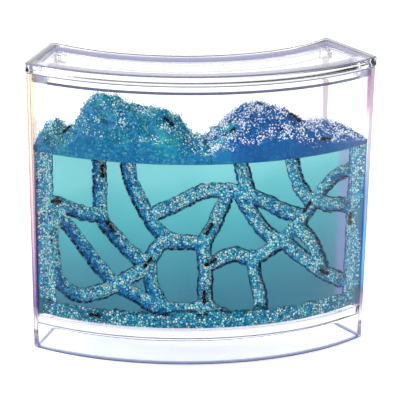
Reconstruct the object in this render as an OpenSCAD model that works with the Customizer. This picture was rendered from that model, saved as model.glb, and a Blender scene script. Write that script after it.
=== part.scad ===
// Gel ant habitat: a curved clear tank with a lift-off lid, holding a block of
// set gel that the ants have tunnelled, the crumbs they dug out, and the ants.
// The origin is the centre of the whole footprint, on the table. +X is to the
// viewer's right, +Y is away from the viewer and +Z is up. Lengths are in mm.

/* [Footprint, at the lid] */
// Width across the two front corners
front_w = 180; // [150:1:210]
// How far the front bulges ahead of its corners
front_bulge = 40; // [30:1:46]
// Width across the two back corners
back_w = 144; // [124:1:160]
// How far the back face curves in between its corners
back_bulge = 40; // [30:1:44]
// Depth from front to back in the middle
middle_depth = 50; // [40:1:66]
// Radius of the upright corners
corner_r = 2.5; // [1:0.5:3]

/* [Tank] */
// Height of the tank's rim above the table
tank_h = 145; // [125:1:180]
// Thickness of the tank's walls
wall = 3; // [2:0.1:4]
// How much narrower each side is at the table than at the rim
draft = 3; // [1:0.5:5]
// Height of the hollow skirt below the floor
skirt_h = 13.5; // [8:0.5:20]
// Thickness of the floor
floor_t = 4; // [2.5:0.5:6]

/* [Lid] */
// Height of the lid's edge above the tank's rim
lid_edge_h = 5; // [4:0.1:8]
// Thickness of the lid's plate
lid_plate_t = 2.6; // [1.6:0.1:3.4]
// Width of the raised rim along the front
lid_front_rim_w = 8.5; // [6:0.5:12]
// Width of the raised rim along the ends and the back
lid_rim_w = 5; // [4:0.5:8]
// How far the lid's edge stands out past the tank
lid_overhang = 0.5; // [0:0.1:2]
// Depth of the lip that plugs into the tank
lip_depth = 5; // [3:0.5:8]
// Thickness of that lip
lip_t = 1.8; // [1.2:0.1:3]
// Gap between the lip and the tank's walls
lip_gap = 0.3; // [0.2:0.05:0.6]
// Size of the solid block in each corner of the lip
lip_block_w = 6; // [3:0.5:9]
// Diameter of the two air holes
vent_d = 2; // [1:0.5:4]
// Distance of each air hole from the end edge of the lid
vent_from_end = 9.5; // [8.5:0.5:20]
// Distance of each air hole in front of the back corner
vent_from_corner = 22; // [18:1:30]

/* [Gel and tunnels] */
// Height of the set gel
gel_h = 87; // [70:1:95]
// Gap round the gel, at the walls and under it
gel_gap = 0.3; // [0.2:0.05:0.5]
// Radius of a tunnel
tunnel_r = 3.6; // [3.3:0.1:4]
// How far behind the gel's front face a tunnel's centre runs
tunnel_set = 2; // [1.6:0.1:2.4]
// Radius of the wide tunnels up the two ends
end_tunnel_r = 5.5; // [5:0.1:6]
// Height of the trench along the foot of the gel's front
trench_h = 9; // [6:0.5:12]
// Depth of that trench into the gel
trench_depth = 8; // [6:0.5:10]

/* [Crumbs] */
// Share of the head space that the tallest heap fills
heap_fill = 0.74; // [0.5:0.01:0.8]
// Least thickness of the crumb layer
crumb_t = 0.8; // [0.5:0.1:1.5]
// Height of the lumps on a heap
heap_lump_h = 1.6; // [0.5:0.1:2.5]
// Distance from one lump to the next, across
heap_lump_pitch = 18; // [12:1:30]
// Lumps from the front of a heap to its back
heap_lump_rows = 2.8; // [2:0.1:4]
// Gap under and beside the crumbs
crumb_gap = 0.25; // [0.1:0.05:0.5]
// How far the crumb bed stays behind the gel's front face
bed_set = 2.8; // [2.6:0.1:3.4]

/* [Ants] */
// Length of an ant's body
ant_len = 7; // [5:0.5:7.5]
// Thickness of a leg
ant_leg_d = 0.28; // [0.2:0.02:0.4]
// Gap under an ant's feet in a tunnel
ant_gap = 0.2; // [0.1:0.05:0.4]
// Gap under an ant's feet on a heap
heap_ant_gap = 0.65; // [0.5:0.05:0.8]

/* [Hidden] */
$fn = 200;
big = 400;
through = 1;
// Chords of a rounded corner.
corner_steps = 8;

// Radii and centres of the two arcs of the footprint.
front_r0 = (pow(front_w / 2, 2) + pow(front_bulge, 2)) / (2 * front_bulge);
back_r0 = (pow(back_w / 2, 2) + pow(back_bulge, 2)) / (2 * back_bulge);

// Corners of the right end, measured from the foremost point of the front.
front_corner = [front_w / 2, front_bulge];
back_corner = [back_w / 2, middle_depth + back_bulge];
end_dir = (back_corner - front_corner) / norm(back_corner - front_corner);
end_out = [end_dir.y, -end_dir.x];
end_angle = atan2(end_out.y, end_out.x);

// The rounded back corners set how far back the lid reaches.
back_tan = let (rho = (back_corner - [0, middle_depth + back_r0]) / back_r0) [rho.y, -rho.x];
back_half = acos(back_tan * -end_dir) / 2;
back_bis = (back_tan - end_dir) / norm(back_tan - end_dir);
round_back_y = back_corner.y + corner_r / sin(back_half) * back_bis.y + corner_r;
plan_mid = round_back_y / 2;

front_cy = front_r0 - plan_mid;
back_cy = middle_depth + back_r0 - plan_mid;
front_end = front_corner - [0, plan_mid];
back_end = back_corner - [0, plan_mid];

// Heights.
floor_top = skirt_h + floor_t;
gel_bottom = floor_top + gel_gap;
gel_top = floor_top + gel_h;
head_room = tank_h - lip_depth - gel_top;
heap_base = gel_top + crumb_gap;
lid_top = tank_h + lid_edge_h;

// Insets from the lid's edge.
lip_out = lid_overhang + wall + lip_gap + draft * lip_depth / tank_h;
lip_in = lip_out + lip_t;
gel_inset = wall + gel_gap;
draft_angle = atan(draft / tank_h);

// The sheet that the tunnels are drawn on: it is wrapped on the gel's front
// face. The first number of a point is across and the second is up from the
// table, and sheet_half_w, sheet_low and sheet_high are its edges.
sheet_half_w = 98;
sheet_low = 17.5;
sheet_high = 104.5;
// The end tunnels run this near to the middle of the sheet, and cut off the
// gel's corners.
end_at = sheet_half_w - 4;

// Centre lines of the tunnels on that sheet. Each turns a little at every point,
// because tunnel pieces exactly in line leave slivers where they meet.
SHAFT_LEFT = [[-58, 109], [-58, 83], [-57, 74], [-50, 66], [-44, 60], [-38, 55], [-32, 52]];
SHAFT_LEFT_MIDDLE = [[-43, 109], [-42, 98], [-39, 90], [-29, 72], [-23, 67], [-17, 64]];
SHAFT_RIGHT_MIDDLE = [[14, 109], [19, 93], [20, 87]];
SHAFT_RIGHT = [[43, 109], [46, 98], [50, 89], [56, 82]];
LINK_LEFT = [[-end_at, 77], [-86, 79], [-78, 78], [-68, 76], [-58, 76]];
DIAGONAL_LEFT = [[-end_at, 72], [-86, 74], [-78, 69], [-72, 63], [-66, 56], [-52, 42], [-45, 38],
    [-38, 35], [-31, 31], [-23, 29], [-14, 28], [-4, 29]];
LOOP_LEFT = [[-87, 73], [-87, 60], [-86, 48], [-84, 39], [-78, 34], [-71, 32], [-63, 34], [-55, 37],
    [-48, 41], [-42, 45], [-36, 48], [-32, 53], [-29, 59], [-24, 64], [-17, 64], [-10, 64], [-3, 63]];
STUB_LEFT = [[-32, 50], [-31, 43], [-29, 37], [-25, 31]];
ARCH_MIDDLE = [[-30, 78], [-25, 81], [-18, 84], [-10, 88], [-2, 91], [6, 91], [14, 90], [22, 87],
    [31, 83], [40, 78], [51, 74]];
BRANCH_MIDDLE = [[9, 88], [5, 80], [2, 73], [-2, 66], [-3, 60], [-2, 51], [-2, 34], [2, 28], [9, 24]];
BRANCH_RIGHT = [[16, 88], [25, 74], [31, 67], [38, 62]];
DIAGONAL_RIGHT = [[end_at, 90], [88, 93], [81, 93], [74, 92], [67, 88], [61, 82], [55, 75], [41, 63],
    [33, 58], [26, 55], [20, 55], [14, 57], [8, 56], [-2, 51]];
DROP_RIGHT = [[24, 54], [25, 44], [28, 35], [29, 25]];
SLOPE_RIGHT = [[42, 61], [50, 54], [65, 43], [74, 38], [83, 34], [end_at, 31]];
INNER_RIGHT = [[48, 68], [54, 64], [60, 57], [67, 44]];
LINK_RIGHT = [[62, 80], [70, 77], [78, 76], [86, 73], [end_at, 71]];
END_LEFT = [[-end_at, 109], [-end_at, 24]];
END_RIGHT = [[end_at, 109], [end_at, 24]];
TUNNELS = [SHAFT_LEFT, SHAFT_LEFT_MIDDLE, SHAFT_RIGHT_MIDDLE, SHAFT_RIGHT, LINK_LEFT, DIAGONAL_LEFT,
    LOOP_LEFT, STUB_LEFT, ARCH_MIDDLE, BRANCH_MIDDLE, BRANCH_RIGHT, DIAGONAL_RIGHT, DROP_RIGHT,
    SLOPE_RIGHT, INNER_RIGHT, LINK_RIGHT];
END_TUNNELS = [END_LEFT, END_RIGHT];
// Sides of a tunnel's round back, and two places on it as shares of its radius.
tunnel_sides = 8;
tunnel_deep = 0.92;
tunnel_flat = 0.38;

// Heaps, each a list of bumps: where it is across the sheet, its share of the
// tallest heap's height, and how far it spreads each way.
HEAP_LEFT = [[-59, 1, 18], [-27, 0.79, 18], [-90, 0.12, 9]];
HEAP_RIGHT = [[29, 0.86, 22], [62, 0.36, 17]];
// Where a heap's ridge runs, as a share of the depth, and how far it spreads.
ridge_at = 0.55;
ridge_w = 0.55;
// Gap between the two heaps, across the sheet.
heap_split = 2;
heap_steps = [44, 12];

// Ants in the tunnels: across, up and heading, anticlockwise from rightwards.
TUNNEL_ANTS = [[-58, 98, 95], [-end_at + 7, 79, 6], [-54, 70, -52], [-33, 52, 55], [0, 70, 62], [1, 52.5, 30],
    [-2, 34, 92], [57, 77, 48], [71, 40, 150], [end_at, 64, 92]];
// Ants on the crumb bed: across and heading.
BED_ANTS = [[-62, 0]];
// Ants on the heaps: across, share of the depth and heading.
HEAP_ANTS = [[-78, 0.32, 75], [-21, 0.35, 140], [13, 0.3, 180], [51, 0.4, 150], [66, 0.06, 5]];
tunnel_ants = len(TUNNEL_ANTS);
bed_ants = len(BED_ANTS);
heap_ants = len(HEAP_ANTS);

// How far a face of the tank lies inside the lid's edge at a height.
function inset_at(inset, z) = lid_overhang + inset + draft * (1 - z / tank_h);

function front_r(inset, z) = front_r0 - inset_at(inset, z);

function back_r(inset, z) = back_r0 + inset_at(inset, z);

// Corner of the footprint, inset all round, on the right end.
function meet(centre_y, r, inset) =
    let (start = front_end - end_out * inset, w = start - [0, centre_y], along = w * end_dir)
    start + end_dir * (-along - sqrt(along * along - (w * w - r * r)));

function front_meet(inset) = meet(front_cy, front_r0 - inset, inset);

function back_meet(inset) = meet(back_cy, back_r0 + inset, inset);

function unit(v) = v / norm(v);

// A place in the tank: u runs from -1 to 1 between the ends, d from 0 to 1
// between the front and the back, inside the given inset, at height z.
function place(u, d, z, inset) =
    let (i = inset_at(inset, z), f = front_meet(i), b = back_meet(i))
    let (fa = u * atan2(f.x, front_cy - f.y), ba = u * atan2(b.x, back_cy - b.y))
    let (fp = [front_r(inset, z) * sin(fa), front_cy - front_r(inset, z) * cos(fa)])
    let (bp = [back_r(inset, z) * sin(ba), back_cy - back_r(inset, z) * cos(ba)])
    [fp.x + d * (bp.x - fp.x), fp.y + d * (bp.y - fp.y), z];

// The sheet's own lengths on the gel.
function across(s) = s / sheet_half_w;

function upward(z) = gel_bottom + (z - sheet_low) / (sheet_high - sheet_low) * (gel_top - gel_bottom);

// Bearing of the front at a place across the sheet.
function bearing(s) = let (f = front_meet(inset_at(gel_inset, upward((sheet_low + sheet_high) / 2))))
    across(s) * atan2(f.x, front_cy - f.y);

// A point of the sheet, sunk behind the gel's front face.
function on_sheet(p, sink) =
    let (z = upward(p.y), r = front_r(gel_inset, z) - sink, a = bearing(p.x))
    [r * sin(a), front_cy - r * cos(a), z];

// Height of a heap above its base, without its lumps and with them.
function bump_sum(bumps, s, k = 0) = k == len(bumps) ? 0
    : bumps[k][1] * exp(-pow(abs(s - bumps[k][0]) / bumps[k][2], 3)) + bump_sum(bumps, s, k + 1);

function heap_rise(bumps, s, d) =
    head_room * heap_fill * bump_sum(bumps, s) * exp(-pow((d - ridge_at) / ridge_w, 2));

function heap_height(bumps, s, d) =
    let (rise = heap_rise(bumps, s, d), turns = s / heap_lump_pitch)
    let (lump = sin(360 * turns) * sin(360 * (heap_lump_rows * d + turns / 2)))
    crumb_t + rise + heap_lump_h * lump * min(1, rise / (4 * heap_lump_h));

function bumps_at(s) = s < 0 ? HEAP_LEFT : HEAP_RIGHT;

// Footprint at the lid, inset by its own amount along the front, ends and back.
module footprint(front_in, end_in, back_in) difference() {
    intersection() {
        translate([0, front_cy]) circle(front_r0 - front_in);
        for (side = [0, 1]) mirror([side, 0]) end_side(end_in);
        translate([-big / 2, back_end.y + 2 * corner_r - big]) square(big);
    }
    translate([0, back_cy]) circle(back_r0 + back_in);
}

// Everything on the inner side of both ends, in plan.
module end_side(inset) {
    intersection_for (side = [0, 1])
        mirror([side, 0]) translate(front_end) rotate(end_angle)
            translate([-inset - big, -big / 2]) square(big);
}

// The plan of what rounding takes off a corner, drawn about that corner. Its
// end chords run on past the two faces, so that they cross them cleanly.
module corner_waste(a, b) {
    bis = unit(a + b);
    half = acos(a * b) / 2;
    centre = bis * corner_r / sin(half);
    reach = corner_r / tan(half);
    last = corner_steps;
    arc = [for (k = [0 : last])
        centre + corner_r * unit((a * reach - centre) * (last - k) + (b * reach - centre) * k)];
    polygon(concat([-bis * 2 * corner_r, 2 * arc[0] - arc[1]], [for (k = [1 : last - 1]) arc[k]],
        [2 * arc[last] - arc[last - 1]]));
}

// The same, stood up along the line from a corner's low point to its high one,
// with spare length past both.
module corner_cutter(low, high, z0, z1, a, b) {
    spare = 2 * corner_r;
    lean = high - low;
    azimuth = atan2(lean.y, lean.x);
    tilt = atan2(norm(lean), z1 - z0);
    translate([low.x, low.y, z0]) rotate([0, tilt, azimuth]) rotate(-azimuth)
        translate([0, 0, -spare]) linear_extrude(z1 - z0 + 2 * spare) corner_waste(a, b);
}

// All four rounded corners of a body whose inset changes from low_in to high_in.
module corner_cutters(low_in, high_in, z0, z1) {
    front_rho = unit(front_meet(high_in) - [0, front_cy]);
    back_rho = unit(back_meet(high_in) - [0, back_cy]);
    for (side = [0, 1]) mirror([side, 0, 0]) {
        corner_cutter(front_meet(low_in), front_meet(high_in), z0, z1, [front_rho.y, -front_rho.x], end_dir);
        corner_cutter(back_meet(low_in), back_meet(high_in), z0, z1, [back_rho.y, -back_rho.x], -end_dir);
    }
}

// A solid with the tank's tapered sides, inset from its outside, between heights.
module tapered(inset, z0, z1) difference() {
    intersection() {
        translate([0, front_cy, z0]) cylinder(h = z1 - z0, r1 = front_r(inset, z0), r2 = front_r(inset, z1));
        tapered_end(inset);
        mirror([1, 0, 0]) tapered_end(inset);
        translate([-big / 2, back_end.y + 2 * corner_r - big, z0 - through]) cube([big, big, z1 - z0 + 2 * through]);
    }
    translate([0, back_cy, z0 - through]) cylinder(h = z1 - z0 + 2 * through,
        r1 = back_r(inset, z0 - through), r2 = back_r(inset, z1 + through));
}

// Everything on the inner side of the right end's tapered face.
module tapered_end(inset) {
    translate([front_end.x, front_end.y, tank_h]) rotate([0, 0, end_angle])
        translate([-lid_overhang - inset, 0, 0]) rotate([0, draft_angle, 0])
            translate([-big, -big / 2, -big * 0.6]) cube(big);
}

// Clear tank: walls, a raised floor and an open skirt under it.
module tank() color([0.86, 0.87, 0.93, 0.35]) difference() {
    tapered(0, 0, tank_h);
    corner_cutters(inset_at(0, 0), inset_at(0, tank_h), 0, tank_h);
    tapered(wall, floor_top, tank_h + through);
    tapered(wall, -through, skirt_h);
}

// Clear lid: a plate with a raised rim, a lip that plugs into the tank, a block
// in each corner of the lip and two air holes.
module lid() color([0.88, 0.89, 0.95, 0.35]) difference() {
    union() {
        translate([0, 0, tank_h]) linear_extrude(lid_edge_h) footprint(0, 0, 0);
        translate([0, 0, tank_h - lip_depth]) linear_extrude(lip_depth + through) difference() {
            footprint(lip_out, lip_out, lip_out);
            difference() {
                footprint(lip_in, lip_in, lip_in);
                lip_blocks();
            }
        }
    }
    corner_cutters(0, 0, tank_h, lid_top);
    translate([0, 0, tank_h + lid_plate_t]) linear_extrude(lid_edge_h)
        footprint(lid_front_rim_w, lid_rim_w, lid_rim_w);
    for (side = [-1, 1]) vent(side);
}

// Plan of the blocks in the lip's four corners.
module lip_blocks() {
    for (side = [0, 1], corner = [front_meet(lip_in), back_meet(lip_in)])
        mirror([side, 0]) translate(corner) rotate(end_angle) square(2 * lip_block_w, center = true);
}

// One air hole, through the lid's plate.
module vent(side) {
    spot = back_end - end_out * vent_from_end - end_dir * vent_from_corner;
    translate([side * spot.x, spot.y, tank_h - through]) cylinder(h = lid_plate_t + 2 * through, d = vent_d, $fn = 32);
}

// Set gel, with the tunnels and the trench cut into its front.
module gel_block() color([0.38, 0.72, 0.78]) difference() {
    tapered(gel_inset, gel_bottom, gel_top);
    trench();
    for (route = TUNNELS) tunnel(route, tunnel_r);
    for (route = END_TUNNELS) tunnel(route, end_tunnel_r);
}

// A tunnel that follows a route on the sheet.
module tunnel(route, r)
    for (k = [0 : len(route) - 2]) hull() {
        tunnel_end(route[k], r);
        tunnel_end(route[k + 1], r);
    }

// One end of a straight piece of tunnel. It has straight sides from its round
// back out through the gel's front.
module tunnel_end(p, r)
    translate(on_sheet(p, tunnel_set)) rotate([90, 0, bearing(p.x)]) rotate_extrude($fn = tunnel_sides)
        polygon([[0, 2 * tunnel_set], [0, -tunnel_deep * r], [tunnel_flat * r, -tunnel_deep * r],
            [tunnel_deep * r, -tunnel_flat * r], [tunnel_deep * r, 2 * tunnel_set]]);

// The trench along the foot of the gel's front.
module trench() difference() {
    tapered(gel_inset - through, gel_bottom - through, gel_bottom + trench_h);
    translate([0, front_cy, gel_bottom - 2 * through])
        cylinder(h = trench_h + 3 * through, r = front_r(gel_inset + trench_depth, gel_bottom));
}

// Loose crumbs heaped on the gel between two places across the sheet.
module crumb_heap(bumps, s0, s1) {
    m = heap_steps[0];
    n = heap_steps[1];
    plan = [for (i = [0 : m]) let (s = s0 + (s1 - s0) * i / m)
        [for (j = [0 : n]) let (p = place(across(s), j / n, heap_base, gel_inset))
            [p, heap_height(bumps, s, j / n)]]];
    top = [for (i = [0 : m], j = [0 : n]) plan[i][j][0] + [0, 0, plan[i][j][1]]];
    bottom = [for (i = [0 : m], j = [0 : n]) plan[i][j][0]];
    polyhedron(concat(top, bottom), grid_faces(m, n), convexity = 6);
}

// Triangles of a closed slab of m by n cells, whose top points come first.
function grid_faces(m, n) =
    let (low = (m + 1) * (n + 1), at = function(i, j) i * (n + 1) + j)
    concat(
        [for (i = [0 : m - 1], j = [0 : n - 1]) each [
            [at(i, j), at(i, j + 1), at(i + 1, j)],
            [at(i + 1, j), at(i, j + 1), at(i + 1, j + 1)],
            [low + at(i, j), low + at(i + 1, j), low + at(i, j + 1)],
            [low + at(i + 1, j), low + at(i + 1, j + 1), low + at(i, j + 1)]]],
        [for (i = [0 : m - 1]) each [
            [at(i, 0), at(i + 1, 0), low + at(i, 0)],
            [low + at(i, 0), at(i + 1, 0), low + at(i + 1, 0)],
            [at(i + 1, n), at(i, n), low + at(i, n)],
            [at(i + 1, n), low + at(i, n), low + at(i + 1, n)]]],
        [for (j = [0 : n - 1]) each [
            [at(0, j + 1), at(0, j), low + at(0, j)],
            [at(0, j + 1), low + at(0, j), low + at(0, j + 1)],
            [at(m, j), at(m, j + 1), low + at(m, j)],
            [low + at(m, j), at(m, j + 1), low + at(m, j + 1)]]]);

module crumb_heap_left() color([0.2, 0.52, 0.7])
    crumb_heap(HEAP_LEFT, -sheet_half_w, -heap_split);

module crumb_heap_right() color([0.2, 0.45, 0.68])
    crumb_heap(HEAP_RIGHT, heap_split, sheet_half_w);

// Crumbs lying in the trench, with an uneven top.
module crumb_bed() color([0.42, 0.75, 0.8]) {
    m = 60;
    back = front_r(gel_inset, gel_bottom) - trench_depth + crumb_gap;
    front = front_r(gel_inset, gel_bottom) - bed_set;
    end = bearing(sheet_half_w) - 2;
    high = trench_h - 2 * crumb_gap;
    wave = 0.5;
    stations = [for (i = [0 : m]) let (a = -end + 2 * end * i / m)
        [a, high - wave * (1 + sin(900 * i / m) * cos(520 * i / m))]];
    top = [for (st = stations, r = [front, back]) [r * sin(st[0]), front_cy - r * cos(st[0]), gel_bottom + st[1]]];
    bottom = [for (st = stations, r = [front, back]) [r * sin(st[0]), front_cy - r * cos(st[0]), gel_bottom]];
    polyhedron(concat(top, bottom), grid_faces(m, 1), convexity = 6);
}

// Half of an ant's outline: radius and place along the body, from tail to head.
ANT_OUTLINE = [[0, -3.5], [0.34, -3.35], [0.7, -2.95], [0.92, -2.3], [0.95, -1.6], [0.78, -0.95], [0.42, -0.5],
    [0.24, -0.25], [0.3, 0], [0.52, 0.35], [0.55, 0.9], [0.62, 1.5], [0.48, 1.95], [0.4, 2.1], [0.74, 2.4],
    [0.8, 2.8], [0.6, 3.25], [0.3, 3.45], [0, 3.5]];
// Height of the middle of its body above its feet.
ant_body_z = 1.25;

// An ant that faces +X and stands on the plane z = 0.
module ant() color([0.08, 0.06, 0.06]) scale(ant_len / 7) {
    translate([0, 0, ant_body_z]) rotate([0, 90, 0]) rotate_extrude($fn = 32) polygon(ANT_OUTLINE);
    for (side = [-1, 1]) {
        // Legs: hip, knee and foot.
        for (leg = [[1.6, 2.1, 2.7], [1.1, 1.1, 1], [0.6, -0.1, -1.2]])
            limb([leg[0], side * 0.3, 1.1], [leg[1], side * 1.15, 1.5], [leg[2], side * 1.6, 0.1]);
        // Feelers: root, elbow and tip.
        limb([3.05, side * 0.3, 1.4], [3.8, side * 0.8, 1.8], [4.4, side * 1, 1.2]);
    }
}

// Two thin rods. The upper one runs on a little past the knee, and holds the
// thinner lower one's end.
module limb(from, knee, to) {
    rod(from, knee + unit(knee - from) * ant_leg_d * 0.4, ant_leg_d);
    rod(knee, to, ant_leg_d * 0.7);
}

module rod(from, to, d) {
    run = to - from;
    translate(from) rotate([0, acos(run.z / norm(run)), atan2(run.y, run.x)])
        cylinder(h = norm(run), d = d, $fn = 6);
}

// An ant on a wall that faces forwards, its feet sunk behind the gel's face.
module wall_ant(s, z, heading, sink)
    translate(on_sheet([s, z], sink)) rotate([90, 0, bearing(s)]) rotate([0, 0, heading]) ant();

// In a tunnel the feet reach its back wall, at half the width of a stance.
stance = 1.9 * ant_len / 7;
function tunnel_floor(r) = tunnel_set + sqrt(pow(0.9 * r, 2) - pow(stance, 2)) - ant_gap;

module tunnel_ant(k) wall_ant(TUNNEL_ANTS[k][0], TUNNEL_ANTS[k][1], TUNNEL_ANTS[k][2],
    tunnel_floor(TUNNEL_ANTS[k][0] == end_at ? end_tunnel_r : tunnel_r));

module bed_ant(k) wall_ant(BED_ANTS[k][0], sheet_low + trench_h / 2, BED_ANTS[k][1], bed_set - ant_gap);

// An ant on a heap stands square to the slope under it.
module heap_ant(k) {
    s = HEAP_ANTS[k][0];
    d = HEAP_ANTS[k][1];
    bumps = bumps_at(s);
    span = 2;
    reach = ant_len / 3;
    step_s = reach / front_r0 * 180 / PI / bearing(1);
    here = place(across(s), d, heap_base, gel_inset);
    deep = norm(place(across(s), 1, heap_base, gel_inset) - place(across(s), 0, heap_base, gel_inset));
    step_d = reach / deep;
    rise_s = (heap_height(bumps, s + step_s, d) - heap_height(bumps, s - step_s, d)) / (span * reach);
    rise_d = (heap_height(bumps, s, d + step_d) - heap_height(bumps, s, d - step_d)) / (span * reach);
    translate(here + [0, 0, heap_height(bumps, s, d)])
        rotate([0, 0, bearing(s)]) rotate([0, -atan(rise_s), 0]) rotate([atan(rise_d * cos(atan(rise_s))), 0, 0])
            translate([0, 0, heap_ant_gap]) rotate([0, 0, HEAP_ANTS[k][2]]) ant();
}

tank();
lid();
gel_block();
crumb_heap_left();
crumb_heap_right();
crumb_bed();
for (k = [1 : tunnel_ants]) tunnel_ant(k - 1);
for (k = [1 : bed_ants]) bed_ant(k - 1);
for (k = [1 : heap_ants]) heap_ant(k - 1);
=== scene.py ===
import math

import bmesh
import bpy
import numpy as np
from mathutils import Euler, Matrix, Vector
from mathutils.geometry import tessellate_polygon


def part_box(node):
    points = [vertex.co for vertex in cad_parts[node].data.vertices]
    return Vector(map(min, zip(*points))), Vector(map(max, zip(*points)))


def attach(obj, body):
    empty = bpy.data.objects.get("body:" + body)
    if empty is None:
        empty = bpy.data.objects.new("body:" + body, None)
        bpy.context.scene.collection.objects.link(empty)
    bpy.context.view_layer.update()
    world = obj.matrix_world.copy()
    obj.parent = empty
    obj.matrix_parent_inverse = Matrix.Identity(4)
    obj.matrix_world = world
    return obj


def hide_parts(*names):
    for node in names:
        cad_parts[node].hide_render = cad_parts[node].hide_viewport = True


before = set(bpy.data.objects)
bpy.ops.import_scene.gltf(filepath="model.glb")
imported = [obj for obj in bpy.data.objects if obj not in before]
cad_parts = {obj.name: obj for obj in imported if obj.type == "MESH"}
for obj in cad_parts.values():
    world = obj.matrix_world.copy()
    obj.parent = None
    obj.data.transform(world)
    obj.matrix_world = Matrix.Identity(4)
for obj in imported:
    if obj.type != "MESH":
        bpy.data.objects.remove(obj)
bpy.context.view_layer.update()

# Every size below is in millimetres until a mesh is finished; Blender's own unit is the metre.
MM = 0.001

# Footprint at the lid.
FRONT_W, FRONT_BULGE = 180.0, 40.0
BACK_W, BACK_BULGE = 144.0, 40.0
MIDDLE_DEPTH = 50.0
CORNER_R = 2.5

# Tank and lid.
TANK_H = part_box("tank")[1].z / MM
LID_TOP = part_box("lid")[1].z / MM
WALL, DRAFT, SKIRT_H, FLOOR_T = 3.0, 3.0, 13.5, 4.0
LID_PLATE_T, LID_FRONT_RIM_W, LID_RIM_W, LID_OVERHANG = 2.6, 8.5, 5.0, 0.5
LIP_DEPTH, LIP_T, LIP_GAP, LIP_BLOCK_W = 5.0, 1.8, 0.3, 6.0
VENT_D, VENT_FROM_END, VENT_FROM_CORNER = 2.0, 9.5, 22.0

# Gel, tunnels, crumbs and ants.
GEL_H, GEL_GAP = 87.0, 0.3
TUNNEL_R, END_TUNNEL_R, TUNNEL_SET = 3.6, 5.5, 2.0
TRENCH_H, TRENCH_DEPTH = 9.0, 8.0
HEAP_FILL, CRUMB_T, CRUMB_GAP, BED_SET = 0.74, 0.8, 0.25, 2.8
HEAP_LUMP_H, HEAP_LUMP_PITCH, HEAP_LUMP_ROWS = 1.6, 18.0, 2.8
ANT_LEN, ANT_GAP, HEAP_ANT_GAP = 7.0, 0.2, 0.65

# What follows from them.
FRONT_R0 = ((FRONT_W / 2) ** 2 + FRONT_BULGE**2) / (2 * FRONT_BULGE)
BACK_R0 = ((BACK_W / 2) ** 2 + BACK_BULGE**2) / (2 * BACK_BULGE)
PLAN_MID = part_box("lid")[1].y / MM
FRONT_CY = FRONT_R0 - PLAN_MID
BACK_CY = MIDDLE_DEPTH + BACK_R0 - PLAN_MID
FRONT_END = np.array([FRONT_W / 2, FRONT_BULGE - PLAN_MID])
BACK_END = np.array([BACK_W / 2, MIDDLE_DEPTH + BACK_BULGE - PLAN_MID])
END_DIR = (BACK_END - FRONT_END) / np.linalg.norm(BACK_END - FRONT_END)
END_OUT = np.array([END_DIR[1], -END_DIR[0]])
FLOOR_TOP = SKIRT_H + FLOOR_T
GEL_BOTTOM = FLOOR_TOP + GEL_GAP
GEL_TOP = FLOOR_TOP + GEL_H
HEAD_ROOM = TANK_H - LIP_DEPTH - GEL_TOP
HEAP_BASE = GEL_TOP + CRUMB_GAP
LIP_OUT = LID_OVERHANG + WALL + LIP_GAP + DRAFT * LIP_DEPTH / TANK_H
LIP_IN = LIP_OUT + LIP_T
GEL_INSET = WALL + GEL_GAP

# The sheet that the tunnels are drawn on, wrapped on the gel's front: across, then up from the table.
SHEET_HALF_W, SHEET_LOW, SHEET_HIGH = 98.0, 17.5, 104.5
END_AT = SHEET_HALF_W - 4
TUNNELS = {
    "shaft_left": [(-58, 109), (-58, 83), (-57, 74), (-50, 66), (-44, 60), (-38, 55), (-32, 52)],
    "shaft_left_middle": [(-43, 109), (-42, 98), (-39, 90), (-29, 72), (-23, 67), (-17, 64)],
    "shaft_right_middle": [(14, 109), (19, 93), (20, 87)],
    "shaft_right": [(43, 109), (46, 98), (50, 89), (56, 82)],
    "link_left": [(-END_AT, 77), (-86, 79), (-78, 78), (-68, 76), (-58, 76)],
    "diagonal_left": [(-END_AT, 72), (-86, 74), (-78, 69), (-72, 63), (-66, 56), (-52, 42), (-45, 38),
                      (-38, 35), (-31, 31), (-23, 29), (-14, 28), (-4, 29)],
    "loop_left": [(-87, 73), (-87, 60), (-86, 48), (-84, 39), (-78, 34), (-71, 32), (-63, 34), (-55, 37),
                  (-48, 41), (-42, 45), (-36, 48), (-32, 53), (-29, 59), (-24, 64), (-17, 64), (-10, 64),
                  (-3, 63)],
    "stub_left": [(-32, 50), (-31, 43), (-29, 37), (-25, 31)],
    "arch_middle": [(-30, 78), (-25, 81), (-18, 84), (-10, 88), (-2, 91), (6, 91), (14, 90), (22, 87),
                    (31, 83), (40, 78), (51, 74)],
    "branch_middle": [(9, 88), (5, 80), (2, 73), (-2, 66), (-3, 60), (-2, 51), (-2, 34), (2, 28), (9, 24)],
    "branch_right": [(16, 88), (25, 74), (31, 67), (38, 62)],
    "diagonal_right": [(END_AT, 90), (88, 93), (81, 93), (74, 92), (67, 88), (61, 82), (55, 75), (41, 63),
                       (33, 58), (26, 55), (20, 55), (14, 57), (8, 56), (-2, 51)],
    "drop_right": [(24, 54), (25, 44), (28, 35), (29, 25)],
    "slope_right": [(42, 61), (50, 54), (65, 43), (74, 38), (83, 34), (END_AT, 31)],
    "inner_right": [(48, 68), (54, 64), (60, 57), (67, 44)],
    "link_right": [(62, 80), (70, 77), (78, 76), (86, 73), (END_AT, 71)],
}
END_TUNNELS = {
    "end_left": [(-END_AT, 109), (-END_AT, 24)],
    "end_right": [(END_AT, 109), (END_AT, 24)],
}

# Heaps, each a list of bumps: place across the sheet, share of the tallest heap, spread each way.
HEAP_LEFT = [(-59, 1, 18), (-27, 0.79, 18), (-90, 0.12, 9)]
HEAP_RIGHT = [(29, 0.86, 22), (62, 0.36, 17)]
RIDGE_AT, RIDGE_W = 0.55, 0.55

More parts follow.
